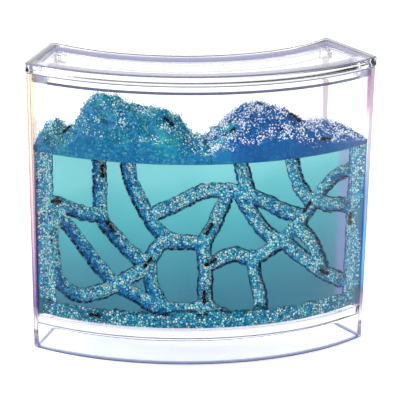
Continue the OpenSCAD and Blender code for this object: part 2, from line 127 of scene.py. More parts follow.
# Ants in the tunnels: across, up and heading. On the bed: across and heading. On the heaps: across,
# share of the depth and heading.
TUNNEL_ANTS = [(-58, 98, 95), (-END_AT + 7, 79, 6), (-54, 70, -52), (-33, 52, 55), (0, 70, 62), (1, 52.5, 30),
               (-2, 34, 92), (57, 77, 48), (71, 40, 150), (END_AT, 64, 92)]
BED_ANTS = [(-62, 0)]
HEAP_ANTS = [(-78, 0.32, 75), (-21, 0.35, 140), (13, 0.3, 180), (51, 0.4, 150), (66, 0.06, 5)]


# ---- places in the tank ----

def inset_at(inset, z):
    """How far a face of the tank lies inside the lid's edge at a height."""
    return LID_OVERHANG + inset + DRAFT * (1 - z / TANK_H)


def meet(centre_y, radius, inset):
    """Where a circle on the middle line meets the right end, once that end has moved in."""
    start = FRONT_END - END_OUT * inset
    w = start - np.array([0.0, centre_y])
    along = w @ END_DIR
    return start - END_DIR * (along + math.sqrt(along * along - (w @ w - radius * radius)))


def half_turn(centre_y, radius, inset):
    """Half the angle of such a circle between the two ends."""
    x, y = meet(centre_y, radius, inset)
    return math.atan2(x, centre_y - y)


def on_circle(centre_y, radius, turn):
    """Points of such a circle, by their turn from straight ahead."""
    return np.stack([radius * np.sin(turn), centre_y - radius * np.cos(turn)], -1)


def place(u, d, z, inset):
    """A place in the tank: u from -1 to 1 between the ends, d from 0 to 1 from front to back."""
    i = inset_at(inset, z)
    front_r, back_r = FRONT_R0 - i, BACK_R0 + i
    front = on_circle(FRONT_CY, front_r, u * half_turn(FRONT_CY, front_r, i))
    back = on_circle(BACK_CY, back_r, u * half_turn(BACK_CY, back_r, i))
    return front + np.asarray(d)[..., None] * (back - front)


def upward(z):
    """Height above the table of a height on the sheet."""
    return GEL_BOTTOM + (z - SHEET_LOW) / (SHEET_HIGH - SHEET_LOW) * (GEL_TOP - GEL_BOTTOM)


SHEET_MID_IN = inset_at(GEL_INSET, upward((SHEET_LOW + SHEET_HIGH) / 2))
SHEET_TURN = half_turn(FRONT_CY, FRONT_R0 - SHEET_MID_IN, SHEET_MID_IN)


def on_sheet(s, z, sink):
    """A point of the sheet, sunk behind the gel's front face."""
    height = upward(z)
    radius = FRONT_R0 - inset_at(GEL_INSET, height) - sink
    turn = s / SHEET_HALF_W * SHEET_TURN
    return np.stack([radius * np.sin(turn), FRONT_CY - radius * np.cos(turn), height + 0 * radius], -1)


def heap_height(bumps, s, d):
    """Height of a heap above its base, lumps and all."""
    total = sum(share * np.exp(-np.abs((s - at) / spread) ** 3) for at, share, spread in bumps)
    rise = HEAD_ROOM * HEAP_FILL * total * np.exp(-(((d - RIDGE_AT) / RIDGE_W) ** 2))
    turns = s / HEAP_LUMP_PITCH
    lump = np.sin(2 * np.pi * turns) * np.sin(2 * np.pi * (HEAP_LUMP_ROWS * d + turns / 2))
    return CRUMB_T + rise + HEAP_LUMP_H * lump * np.minimum(1, rise / (4 * HEAP_LUMP_H))


def smooth_route(points, step):
    """A smooth curve through a route's points, with a point about every step."""
    p = np.array(points, float)
    out = []
    for k in range(len(p) - 1):
        a, b, c, d = p[max(k - 1, 0)], p[k], p[k + 1], p[min(k + 2, len(p) - 1)]
        t = np.linspace(0, 1, max(1, round(np.linalg.norm(c - b) / step)), endpoint=False)[:, None]
        out.append(0.5 * (2 * b + (c - a) * t + (2 * a - 5 * b + 4 * c - d) * t**2
                          + (3 * b - a - 3 * c + d) * t**3))
    return np.concatenate(out + [p[-1:]])


def lumps(x, y, cell, seed):
    """Smooth random lumps from -1 to 1 over a plane, each about a cell wide."""
    rng = np.random.default_rng(seed)
    table = rng.uniform(-1, 1, (256, 256))
    x, y = np.asarray(x) / cell + 64, np.asarray(y) / cell + 64
    i, j = np.floor(x).astype(int), np.floor(y).astype(int)
    fx, fy = x - i, y - j
    fx, fy = fx * fx * (3 - 2 * fx), fy * fy * (3 - 2 * fy)
    near = table[i % 256, j % 256] * (1 - fx) + table[(i + 1) % 256, j % 256] * fx
    far = table[i % 256, (j + 1) % 256] * (1 - fx) + table[(i + 1) % 256, (j + 1) % 256] * fx
    return near * (1 - fy) + far * fy


# ---- materials ----

def srgb(hex_colour):
    """A linear colour from sRGB hex."""
    parts = [int(hex_colour[k:k + 2], 16) / 255 for k in (1, 3, 5)]
    return tuple(c / 12.92 if c <= 0.04045 else ((c + 0.055) / 1.055) ** 2.4 for c in parts) + (1.0,)


def node(tree, kind, inputs=None, stops=(), **settings):
    """Adds a node with its settings; a shader node's kind goes without its prefix. An input is given a
    value, or linked to a socket or to a node's first live output. A colour ramp also gets its (position,
    sRGB hex) stops."""
    made = tree.nodes.new(kind if "Node" in kind else "ShaderNode" + kind)
    for name, value in settings.items():
        setattr(made, name, value)
    for key, value in (inputs or {}).items():
        if isinstance(value, bpy.types.Node):
            value = next(socket for socket in value.outputs if socket.enabled)
        if isinstance(value, bpy.types.NodeSocket):
            tree.links.new(value, made.inputs[key])
        else:
            made.inputs[key].default_value = value
    if stops:
        elements = made.color_ramp.elements
        elements[0].position, elements[0].color = stops[0][0], srgb(stops[0][1])
        elements[1].position, elements[1].color = stops[-1][0], srgb(stops[-1][1])
        for position, colour in stops[1:-1]:
            elements.new(position).color = srgb(colour)
    return made


def start_material(name):
    material = bpy.data.materials.new(name)
    material.use_nodes = True
    material.node_tree.nodes.clear()
    return material, material.node_tree


def layered(tree, colour, *layers):
    """Lays colours over the first one, each as far as its factor lets it show."""
    for factor, over in layers:
        colour = node(tree, "Mix", {0: factor, 6: colour, 7: over}, data_type="RGBA")
    return colour


def lamps_pass(tree, shader, tint):
    """Lets the light of lamps through, dimmed by a tint, as clear plastic and gel do."""
    shadow_ray = node(tree, "LightPath").outputs["Is Shadow Ray"]
    clear = node(tree, "BsdfTransparent", {"Color": srgb(tint)})
    return node(tree, "MixShader", {0: shadow_ray, 1: shader, 2: clear})


# Keeps the mouldings' and the gel's reflections weak.
DIM_REFLECTION = srgb("#3C3C46")


def clear_styrene(name, colour, through=1.0):
    """Injection-moulded clear polystyrene: it shows hardly any reflection face on, is colourless through a
    wall and violet where the light has travelled far along one, and has a moulded wall's faint waviness.
    Where a finish carries painted dark edge lines or painted gathered light, less light goes through, so that
    the painted colour shows."""
    wave_mm, wave_h = 25.0, 0.4
    material, tree = start_material(name)
    place_in = node(tree, "TexCoord").outputs["Object"]
    waves = node(tree, "TexNoise", {"Vector": place_in, "Scale": 1 / (wave_mm * MM), "Detail": 1.0})
    bump = node(tree, "Bump", {"Height": waves, "Strength": 0.05, "Distance": wave_h * MM})
    plastic = node(tree, "BsdfPrincipled", {
        "Base Color": colour(tree, place_in), "Roughness": 0.02, "IOR": 1.59, "Transmission Weight": through,
        "Specular Tint": DIM_REFLECTION, "Normal": bump})
    tinted = node(tree, "VolumeAbsorption", {"Color": srgb("#7C78BE"), "Density": 1.6})
    node(tree, "OutputMaterial", {"Surface": lamps_pass(tree, plastic, "#F6F6FA"), "Volume": tinted})
    return material


def plain(colour):
    """One colour all over, for a part of the mouldings."""
    return lambda tree, place_in: srgb(colour)


def painted_corner_light(tree, place_in):
    """Painted light in the tank's corners, standing in for light gathered along their height in the plastic.
    The left front one is painted from cream through pink to violet; the right front one is painted rose at
    the top and the gel's blue lower down; the back ones are painted cream and a greyed mauve. Away from them
    the moulding is colourless."""
    parts = node(tree, "SeparateXYZ", {"Vector": place_in})
    beside = node(tree, "Math", {0: parts.outputs["X"]}, operation="ABSOLUTE")
    half = node(tree, "CombineXYZ", {"X": beside, "Y": parts.outputs["Y"]})
    on_right = node(tree, "MapRange", {
        "Value": parts.outputs["X"], "From Min": -1 * MM, "From Max": 1 * MM})
    level = node(tree, "MapRange", {"Value": parts.outputs["Z"], "From Max": TANK_H * MM})

    def near(corner, reach_mm):
        spot = (corner[0] * MM, corner[1] * MM, 0.0)
        away = node(tree, "VectorMath", {0: half, 1: spot}, operation="DISTANCE")
        return node(tree, "MapRange", {
            "Value": away, "From Min": 1.15 * reach_mm * MM, "From Max": reach_mm * MM})

    left = node(tree, "ValToRGB", {"Fac": level}, [
        (0.02, "#6C5C9C"), (0.08, "#DCCCD4"), (0.15, "#34205C"), (0.28, "#644888"), (0.42, "#AC78A4"),
        (0.6, "#D4A8C0"), (0.8, "#EED8CC"), (1.0, "#F6E8D0")])
    right = node(tree, "ValToRGB", {"Fac": level}, [
        (0.02, "#5C5490"), (0.08, "#D0C8E0"), (0.13, "#5C4890"), (0.18, "#10285C"), (0.24, "#0C5CA8"),
        (0.42, "#1C7CCC"), (0.56, "#74B8E8"), (0.68, "#E0ECF8"), (0.8, "#FAF8FA"), (0.86, "#DCC0D0"),
        (1.0, "#B49CB4")])
    front = layered(tree, left, (on_right, right))
    back = layered(tree, srgb("#F2E8CC"), (on_right, srgb("#8C7C88")))
    return layered(tree, srgb("#FDFDFE"), (near(BACK_END, 8.0), back), (near(FRONT_END, 6.8), front))


def set_gel():
    """Seaweed gel set with blue dye: cloudy and wet. Its colour is painted light: pale at its top and towards
    its left, where light falls in, deepening to a dark teal at its foot, with soft upright streaks, a painted
    lilac streak of light towards its right end, and painted bright blue at that end's edge."""
    half_w, streaks_per_m = 90.0, (60.0, 60.0, 4.0)

    def share(x):
        return (x + half_w) / (2 * half_w)

    material, tree = start_material("set_blue_gel")
    place_in = node(tree, "TexCoord").outputs["Object"]
    parts = node(tree, "SeparateXYZ", {"Vector": place_in})
    stretched = node(tree, "Mapping", {"Vector": place_in, "Scale": streaks_per_m})
    streaks = node(tree, "TexNoise", {"Vector": stretched, "Scale": 1.0, "Detail": 1.0})
    level = node(tree, "MapRange", {
        "Value": parts.outputs["Z"], "From Min": GEL_BOTTOM * MM, "From Max": GEL_TOP * MM})
    uneven = node(tree, "Math", {0: streaks, 1: 0.12, 2: level}, operation="MULTIPLY_ADD")
    # Painted light: paler towards the top and the left, where light falls in.
    painted_light_level = node(tree, "Math", {0: parts.outputs["X"], 1: -1.3, 2: uneven}, operation="MULTIPLY_ADD")
    body = node(tree, "ValToRGB", {"Fac": painted_light_level}, [
        (0.06, "#48889E"), (0.25, "#4C90A4"), (0.5, "#58AABA"), (0.72, "#66C8D0"), (0.9, "#7CDADE"),
        (1.0, "#92E8EA")])
    across = node(tree, "MapRange", {
        "Value": parts.outputs["X"], "From Min": -half_w * MM, "From Max": half_w * MM})
    # Painted light: a lilac streak towards the right end, and bright blue at its edge.
    painted_light_streak = node(tree, "ValToRGB", {"Fac": across}, [(share(77), "#A29EDE"), (share(79), "#1488D0")])
    painted_streak_mask = node(tree, "ValToRGB", {"Fac": across}, [
        (share(66.5), "#000000"), (share(69), "#C8C8C8"), (share(73), "#C8C8C8"), (share(76.5), "#000000"),
        (share(82), "#000000"), (share(83.5), "#F4F4F4")])
    gel = node(tree, "BsdfPrincipled", {
        "Base Color": layered(tree, body, (painted_streak_mask, painted_light_streak)), "Roughness": 0.12, "IOR": 1.34,
        "Transmission Weight": 0.22, "Specular Tint": DIM_REFLECTION})
    node(tree, "OutputMaterial", {"Surface": lamps_pass(tree, gel, "#CDD2D3")})
    return material


def crumb_cells(tree, place_in, crumb_mm, crack_mm):
    """Crumbs pressed together: two random shades for each crumb, 1 along the cracks between them, where
    shade is painted, and the crumbs' roundness."""
    spread = {"Vector": place_in, "Scale": 1 / (crumb_mm * MM)}
    cells = node(tree, "TexVoronoi", spread)
    edges = node(tree, "TexVoronoi", spread, feature="DISTANCE_TO_EDGE")
    shade = node(tree, "SeparateColor", {"Color": cells.outputs["Color"]})
    crack_shade = node(tree, "MapRange", {
        "Value": edges, "From Min": crack_mm / crumb_mm, "From Max": 0.3 * crack_mm / crumb_mm})
    return shade.outputs["Red"], shade.outputs["Green"], crack_shade, edges


def end_in_wet_gel(tree, colour, roughness, **bump):
    """Ends a material in the wet skin of broken gel, with a low sheen."""
    skin_of = {"Base Color": colour, "Roughness": roughness, "IOR": 1.36, "Specular IOR Level": 0.12, **bump}
    node(tree, "OutputMaterial", {"Surface": node(tree, "BsdfPrincipled", skin_of)})


def dug_gel(name, stops, patch_stops, crumb_mm, contrast, crack_shade, from_left=None):
    """Gel bitten into crumbs and pressed together: wet lumps of many shades of the dye with painted shade in
    the cracks between, over broad patches of bluer and greener gel. It may blend into a neighbour's patches
    over the first millimetres right of the middle."""
    patch_mm, wander_mm, blend_from, blend_to = 16.0, -30, -9, -1
    material, tree = start_material(name)
    place_in = node(tree, "TexCoord").outputs["Object"]
    shade, _, cracks, round_it = crumb_cells(tree, place_in, crumb_mm, 0.22 * crumb_mm)
    patches = node(tree, "TexNoise", {"Vector": place_in, "Scale": 1 / (patch_mm * MM), "Detail": 3.0})
    broad = node(tree, "ValToRGB", {"Fac": patches}, patch_stops)
    if from_left:
        across = node(tree, "SeparateXYZ", {"Vector": place_in}).outputs["X"]
        wander = node(tree, "Math", {0: patches, 1: wander_mm * MM, 2: across}, operation="MULTIPLY_ADD")
        gone_over = node(tree, "MapRange", {
            "Value": wander, "From Min": blend_from * MM, "From Max": blend_to * MM})
        broad = layered(tree, node(tree, "ValToRGB", {"Fac": patches}, from_left), (gone_over, broad))
    # Painted shade: the cracks between the crumbs are darkened.
    faint = node(tree, "Math", {0: cracks, 1: contrast}, operation="MULTIPLY")
    colour = layered(tree, broad, (contrast, node(tree, "ValToRGB", {"Fac": shade}, stops)),
                     (faint, srgb(crack_shade)))
    bump = node(tree, "Bump", {"Height": round_it, "Strength": 0.5, "Distance": crumb_mm * MM * 0.4})
    end_in_wet_gel(tree, colour, 0.4, Normal=bump)
    return material


def gel_grain(name, stops):
    """Loose gel crumbs, each of its own shade, wet and glossy."""
    material, tree = start_material(name)
    shade = node(tree, "Attribute", attribute_name="shade").outputs["Fac"]
    end_in_wet_gel(tree, node(tree, "ValToRGB", {"Fac": shade}, stops), 0.3)
    return material


def tunnel_lining():
    """The bitten wall of a tunnel, with painted shade: a thin painted dark line where it breaks the gel's
    face, painted mid blue shade down its lower left side, and pale crumbs with painted shade in the cracks
    between them in the middle."""
    crumb_mm, crack_mm, line_mm, edge_w = 1.3, 0.17, 5, 0.35
    material, tree = start_material("bitten_gel_tunnel_wall")
    place_in = node(tree, "TexCoord").outputs["Object"]
    shade, other, cracks, round_it = crumb_cells(tree, place_in, crumb_mm, crack_mm)
    pale = node(tree, "ValToRGB", {"Fac": shade}, [
        (0.0, "#1494C8"), (0.3, "#3CC8E8"), (0.55, "#8CF0F4"), (0.8, "#D4FFF0"), (1.0, "#F0FFF4")])
    # Painted shade: mid blue down the lower left side of each tunnel.
    blue = node(tree, "ValToRGB", {"Fac": other}, [(0.0, "#0A5CA0"), (0.5, "#1488D0"), (1.0, "#5CD0F4")])
    lines = node(tree, "TexNoise", {"Vector": place_in, "Scale": 1 / (line_mm * MM), "Detail": 1.0})
    # Painted shade: a thin dark line along the tunnel's rim.
    painted_dark_line = node(tree, "ValToRGB", {"Fac": lines}, [(0.35, "#03182E"), (0.55, "#052C50"), (0.7, "#0E5490")])
    shaded = node(tree, "Attribute", attribute_name="shaded").outputs["Fac"]
    inside = node(tree, "Attribute", attribute_name="inside").outputs["Fac"]
    edge = node(tree, "MapRange", {"Value": inside, "From Min": edge_w, "From Max": 0.0})
    colour = layered(tree, pale, (shaded, blue), (cracks, srgb("#053C70")), (edge, painted_dark_line))
    bump = node(tree, "Bump", {"Height": round_it, "Strength": 0.6, "Distance": crumb_mm * MM * 0.5})
    end_in_wet_gel(tree, colour, 0.35, Normal=bump)
    return material


def ant_shell():
    """Ant cuticle: black, smooth and waxy, a little brown where it thins, with a fine grain."""
    grain_mm, grain_h = 0.4, 0.05
    material, tree = start_material("black_ant_cuticle")
    place_in = node(tree, "TexCoord").outputs["Object"]
    grain = node(tree, "TexNoise", {"Vector": place_in, "Scale": 1 / (grain_mm * MM), "Detail": 2.0})
    colour = node(tree, "ValToRGB", {"Fac": grain}, [(0.4, "#030303"), (0.85, "#140C0A")])
    bump = node(tree, "Bump", {"Height": grain, "Strength": 0.2, "Distance": grain_h * MM})
    shell = node(tree, "BsdfPrincipled", {
        "Base Color": colour, "Roughness": 0.25, "IOR": 1.45, "Specular IOR Level": 0.2, "Normal": bump})
    node(tree, "OutputMaterial", {"Surface": shell})
    return material


# ---- meshes ----

def finish_piece(name, mesh, materials, nodes=(), body="tank", sharp_deg=35.0):
    """Links a mesh, in metres, as a piece that rides on a body and stands for CAD nodes."""
    piece = bpy.data.objects.new(name, mesh)
    bpy.context.collection.objects.link(piece)
    for material in materials:
        mesh.materials.append(material)
    if sharp_deg is not None:
        mesh.shade_smooth()
        mesh.set_sharp_from_angle(angle=math.radians(sharp_deg))
    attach(piece, body)
    if nodes:
        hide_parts(*nodes)
    return piece


def mesh_from(name, points, faces):
    """A mesh from points in millimetres."""
    mesh = bpy.data.meshes.new(name)
    mesh.from_pydata((np.asarray(points, float).reshape(-1, 3) * MM).tolist(), [], [list(f) for f in faces])
    mesh.validate()
    return mesh


def mesh_from_bmesh(name, bm):
    """Closes and scales a bmesh built in millimetres."""
    same_point = 0.0005
    bmesh.ops.remove_doubles(bm, verts=bm.verts, dist=same_point)
    bmesh.ops.recalc_face_normals(bm, faces=bm.faces)
    bmesh.ops.scale(bm, vec=(MM, MM, MM), verts=bm.verts)
    mesh = bpy.data.meshes.new(name)
    bm.to_mesh(mesh)
    bm.free()
    return mesh


def finish_faces(bm, number, chosen):
    """Gives the faces that a test picks, by their middle and normal, another of the piece's finishes."""
    bm.normal_update()
    for face in bm.faces:
        if chosen(face.calc_center_median(), face.normal):
            face.material_index = number


def add_loop(bm, points):
    return [bm.verts.new(p) for p in points]


def skin(bm, loops):
    """Joins loops of the same number of points, one to the next."""
    for low, high in zip(loops, loops[1:]):
        for i in range(len(low)):
            j = (i + 1) % len(low)
            bm.faces.new((low[i], low[j], high[j], high[i]))


def cap(bm, loops):
    """Fills a flat outline, whose first loop may hold others as holes."""
    points = [v for loop in loops for v in loop]
    for triangle in tessellate_polygon([[v.co for v in loop] for loop in loops]):
        corners = [points[k] for k in triangle]
        if len(set(corners)) == 3 and bm.faces.get(corners) is None:
            bm.faces.new(corners)


def arc(centre, radius, start, end, steps):
    turn = np.linspace(start, end, steps + 1)
    return np.asarray(centre) + radius * np.stack([np.cos(turn), np.sin(turn)], -1)


FRONT_STEPS, CORNER_STEPS, BACK_STEPS = 60, 6, 40
END_TURN = math.atan2(END_OUT[1], END_OUT[0])
DOWN = -math.pi / 2


def both_halves(right):
    """The whole outline from its right half, which runs from the middle of the front to that of the back."""
    return np.concatenate([right, right[-2:0:-1] * np.array([-1, 1])])


def outline(front_in, end_in, back_in, corner):
    """The footprint, anticlockwise from the middle of the front, moved in along the front, ends and back."""
    f = meet(FRONT_CY, FRONT_R0 - front_in - corner, end_in + corner)
    b = meet(BACK_CY, BACK_R0 + back_in + corner, end_in + corner)
    front_half = math.atan2(f[0], FRONT_CY - f[1])
    back_half = math.atan2(b[0], BACK_CY - b[1])
    return both_halves(np.concatenate([
        arc((0, FRONT_CY), FRONT_R0 - front_in, DOWN, DOWN + front_half, FRONT_STEPS),
        arc(f, corner, DOWN + front_half, END_TURN, CORNER_STEPS)[1:],
        arc(b, corner, END_TURN, back_half - DOWN, CORNER_STEPS),
        arc((0, BACK_CY), BACK_R0 + back_in, DOWN + back_half, DOWN, BACK_STEPS)[1:],
    ]))


def at_height(points, z):
    return [(x, y, z) for x, y in points]


def rounded(path, radius, steps=3):
    """A path of (front, end, back inset, height) corners with each inner corner rounded, and a support
    loop beside it that keeps the wall's shading flat."""
    path = [np.array(p, float) for p in path]
    out = [path[0]]
    for before, here, after in zip(path, path[1:], path[2:]):
        back, on = np.sign(before - here), np.sign(after - here)
        centre = here + radius * (back + on)
        if np.abs(before - here).max() > 8 * radius:
            out.append(here + 3 * radius * back)
        for t in np.linspace(0, math.pi / 2, steps + 1):
            out.append(centre - radius * (on * math.cos(t) + back * math.sin(t)))
        if np.abs(after - here).max() > 8 * radius:
            out.append(here + 3 * radius * on)
    return out + [path[-1]]


def path_loops(bm, path, drafted):
    """Loops of the footprint along a path; on the tank the insets grow towards the table."""
    least_corner_r = 0.8
    loops = []
    for *insets, z in path:
        extra = inset_at(0, z) if drafted else 0.0
        corner = max(least_corner_r, CORNER_R - min(insets))
        loops.append(add_loop(bm, at_height(outline(*(inset + extra for inset in insets), corner), z)))
    return loops


def build_tank(clear, painted_foot_light, painted_dark_edge):
    """One moulding: the skirt's inside, the table edge, the outer wall, the rim, the inner wall and floor.
    Its table edge is painted violet grey for the light gathered in it, and the ends of its walls carry
    painted dark edge lines."""
    wall_edge_r, foot_band_h, edge_band_h, past_flat = 0.5, 1.4, 0.6, 0.01
    in_wall, in_floor = (WALL,) * 3, (WALL + 3,) * 3
    bm = bmesh.new()
    path = rounded([in_floor + (SKIRT_H,), in_wall + (SKIRT_H,), in_wall + (0.0,), (0.0, 0.0, 0.0, 0.0),
                    (0.0, 0.0, 0.0, TANK_H), in_wall + (TANK_H,), in_wall + (FLOOR_TOP,),
                    in_floor + (FLOOR_TOP,)], wall_edge_r)
    loops = path_loops(bm, path, drafted=True)
    skin(bm, loops)
    cap(bm, loops[:1])
    cap(bm, loops[-1:])
    # Painted light: a violet grey band along the table edge; painted dark lines just below the tops of the
    # wall and skirt.
    finish_faces(bm, 1, lambda at, way: at.z < foot_band_h)
    finish_faces(bm, 2, lambda at, way: any(
        top - edge_band_h < at.z < top - past_flat for top in (TANK_H, SKIRT_H)))
    return finish_piece("tank_moulding", mesh_from_bmesh("tank_moulding", bm), [clear, painted_foot_light, painted_dark_edge],
                        ["tank"])


LID_EDGE_R = 0.55


def past_front(at):
    """How far a place lies in front of the lid's front edge."""
    return math.hypot(at.x, at.y - FRONT_CY) - FRONT_R0


def past_end(at):
    """How far a place lies outside the lid's nearer end."""
    return (Vector((abs(at.x), at.y)) - Vector(FRONT_END)).dot(Vector(END_OUT))


def in_rim_outside(at):
    """True for a place on the lid's outermost wall."""
    past_back = BACK_R0 - math.hypot(at.x, at.y - BACK_CY)
    return max(past_front(at), past_end(at), past_back) > -1.0


def lip_void():
    """The inside of the lip in plan, which goes round the solid block in each corner."""
    w = LIP_BLOCK_W
    front_r, back_r = FRONT_R0 - LIP_IN, BACK_R0 + LIP_IN
    front_corner, back_corner = meet(FRONT_CY, front_r, LIP_IN), meet(BACK_CY, back_r, LIP_IN)
    return both_halves(np.concatenate([
        arc((0, FRONT_CY), front_r, DOWN, DOWN + half_turn(FRONT_CY, front_r, LIP_IN + w), FRONT_STEPS),
        [front_corner - END_OUT * w + END_DIR * w, front_corner + END_DIR * w,
         back_corner - END_DIR * w, back_corner - END_OUT * w - END_DIR * w],
        arc((0, BACK_CY), back_r, DOWN + half_turn(BACK_CY, back_r, LIP_IN + w), DOWN, BACK_STEPS),
    ]))


def build_lid(clear, gathered, painted_dark_edge, painted_lip_line):
    """One moulding: the lip's outside, the overhang, the edge, the raised rim and the plate, with the
    hollow inside the lip and two air holes. The rim and the corner blocks are painted pale lavender for light
    gathered in the plastic, and the top edge and the lip's lower edge carry painted dark lines."""
    bm = bmesh.new()
    lip_low, plate_top = TANK_H - LIP_DEPTH, TANK_H + LID_PLATE_T
    lip_out, rim = (LIP_OUT,) * 3, (LID_FRONT_RIM_W, LID_RIM_W, LID_RIM_W)
    path = rounded([(LIP_OUT + 1,) * 3 + (lip_low,), lip_out + (lip_low,), lip_out + (TANK_H,),
                    (0.0, 0.0, 0.0, TANK_H), (0.0, 0.0, 0.0, LID_TOP), rim + (LID_TOP,), rim + (plate_top,)],
                   LID_EDGE_R) + [tuple(r + 3 for r in rim) + (plate_top,)]
    loops = path_loops(bm, path, drafted=False)
    skin(bm, loops)
    void = [add_loop(bm, at_height(lip_void(), z)) for z in (lip_low, TANK_H)]
    skin(bm, void)
    cap(bm, [loops[0], void[0]])
    spot = BACK_END - END_OUT * VENT_FROM_END - END_DIR * VENT_FROM_CORNER
    low_holes, high_holes = [], []
    for side in (-1, 1):
        ring = arc((side * spot[0], spot[1]), VENT_D / 2, 0, 2 * math.pi, 24)[:-1]
        low_holes.append(add_loop(bm, at_height(ring, TANK_H)))
        high_holes.append(add_loop(bm, at_height(ring, plate_top)))
        skin(bm, [low_holes[-1], high_holes[-1]])
    cap(bm, [void[1]] + low_holes)
    cap(bm, [loops[-1]] + high_holes)

    # The finishes are chosen by place, a little past each edge.
    past, past_flat = 0.1, 0.01
    block_reach = np.linalg.norm(FRONT_END - meet(FRONT_CY, FRONT_R0 - LIP_IN, LIP_IN)) + LIP_BLOCK_W

    def in_block(at):
        return min(math.hypot(abs(at.x) - c[0], at.y - c[1]) for c in (FRONT_END, BACK_END)) < block_reach

    # Faces painted pale lavender for gathered light: the rim's inside and top, and the corner blocks.
    def painted_light_faces(at, way):
        rim_inside = plate_top + past < at.z < LID_TOP - past and abs(way.z) < 0.9 and not in_rim_outside(at)
        rim_top = at.z > LID_TOP - past_flat and (
            past_front(at) > -LID_FRONT_RIM_W - past or past_end(at) > -LID_RIM_W - past)
        return rim_inside or rim_top or lip_low <= at.z < TANK_H and in_block(at)

    # Faces with a painted dark line along the lip's lower edge.
    def on_lip_line(at, way):
        return (lip_low - past_flat < at.z < lip_low + 2.5 * LID_EDGE_R and not in_block(at)
                and past_front(at) > -LIP_IN - 0.5)

    # Faces with a painted dark line along the lid's top outer edge.
    def on_top_edge(at, way):
        return in_rim_outside(at) and LID_TOP - LID_EDGE_R < at.z < LID_TOP - past_flat

    for number, chosen in enumerate((painted_light_faces, on_top_edge, on_lip_line), 1):
        finish_faces(bm, number, chosen)
    return finish_piece("lid_moulding", mesh_from_bmesh("lid_moulding", bm),
                        [clear, gathered, painted_dark_edge, painted_lip_line], ["lid"], body="lid")


# ---- gel and tunnels ----

GRID = 0.5
SHEET_S = np.linspace(-SHEET_HALF_W, SHEET_HALF_W, round(2 * SHEET_HALF_W / GRID) + 1)
SHEET_Z = np.linspace(SHEET_LOW, SHEET_HIGH, round((SHEET_HIGH - SHEET_LOW) / GRID) + 1)
GRID_S, GRID_Z = np.meshgrid(SHEET_S, SHEET_Z)
GEL_CORNER_R = 0.6

# The end tunnels are shown wider and shallower than the others, so that they open towards the front,
# with a pit round the ant in the right one.
END_SHOWN_R = {"end_left": 8.0, "end_right": 11.0}
END_DEPTH, END_SLOPE, END_RIM_W = 3.0, 0.4, 2.6
PIT_DEPTH, PIT_R, PIT_SLOPE = 6.9, 3.0, 0.8
END_ANT = TUNNEL_ANTS[9]


def tunnel_field():
    """For each place on the sheet: how far it lies outside the nearest tunnel's side, negative inside,
    that tunnel's radius, and the way from its middle."""
    far_off = 99.0
    outside = np.full(GRID_S.shape, far_off)
    radius, way_s, way_z = (np.zeros(GRID_S.shape) for _ in range(3))
    routes = [(route, TUNNEL_R) for route in TUNNELS.values()]
    routes += [(route, END_SHOWN_R[name]) for name, route in END_TUNNELS.items()]
    for route, r in routes:
        for s, z in smooth_route(route, GRID):
            i0, j0 = round((s + SHEET_HALF_W) / GRID), round((z - SHEET_LOW) / GRID)
            k = round((r + 2) / GRID)
            i = slice(max(i0 - k, 0), max(i0 + k + 1, 0))
            j = slice(max(j0 - k, 0), max(j0 + k + 1, 0))
            ds, dz = GRID_S[j, i] - s, GRID_Z[j, i] - z
            far = np.hypot(ds, dz) - r
            better = far < outside[j, i]
            outside[j, i][better] = far[better]
            radius[j, i][better] = r
            way_s[j, i][better] = ds[better]
            way_z[j, i][better] = dz[better]
    return outside, radius, way_s, way_z


OUTSIDE, RADIUS, WAY_S, WAY_Z = tunnel_field()
# The bitten sides wander by a fraction of a millimetre.
WOBBLE = 0.45 * lumps(GRID_S, GRID_Z, 2.2, 11) + 0.3 * lumps(GRID_S, GRID_Z, 0.9, 12)
TRENCH_LINE = (SHEET_LOW + TRENCH_H + 0.8 * lumps(GRID_S, 0 * GRID_S, 5.0, 13)
               + 0.4 * lumps(GRID_S, 0 * GRID_S, 1.3, 14))


def cavity_depth(spare):
    """How far the gel's front is dug away at each place of the sheet."""
    reach = RADIUS + spare
    from_middle = OUTSIDE + WOBBLE + RADIUS
    dug = np.where(from_middle < reach,
                   TUNNEL_SET + np.sqrt(np.maximum(reach**2 - from_middle**2, 0)), 0.0)
    far_out = np.abs(GRID_S)
    slope = np.minimum(END_SLOPE * (far_out - END_AT + RADIUS), END_DEPTH)
    slope = np.minimum(slope, END_DEPTH / (END_RIM_W - 0.5) * (SHEET_HALF_W - 0.5 - far_out))
    from_ant = np.hypot(GRID_S - END_ANT[0], GRID_Z - END_ANT[1])
    pit = PIT_DEPTH - PIT_SLOPE * np.maximum(from_ant - PIT_R, 0)
    at_end = (RADIUS > TUNNEL_R) & (from_middle < reach)
    dug = np.where(at_end, np.maximum(np.maximum(slope, 0) + spare, pit), dug)
    trench = np.where(GRID_Z < TRENCH_LINE, TRENCH_DEPTH, 0.0)
    fade = np.clip((SHEET_HALF_W - far_out) / 1.5, 0, 1)
    return np.maximum(dug, trench) * fade


def front_half(z):
    """Half the angle that the gel's front spans at a height of the sheet."""
    i = inset_at(GEL_INSET, upward(z))
    corner = outline(i, i, i, GEL_CORNER_R)[FRONT_STEPS + 1]
    return math.atan2(corner[0], FRONT_CY - corner[1])


# The gel narrows towards its foot: the places on the sheet, drawn in with it.
FITTED_S = GRID_S * np.array([front_half(z) for z in SHEET_Z])[:, None] / SHEET_TURN


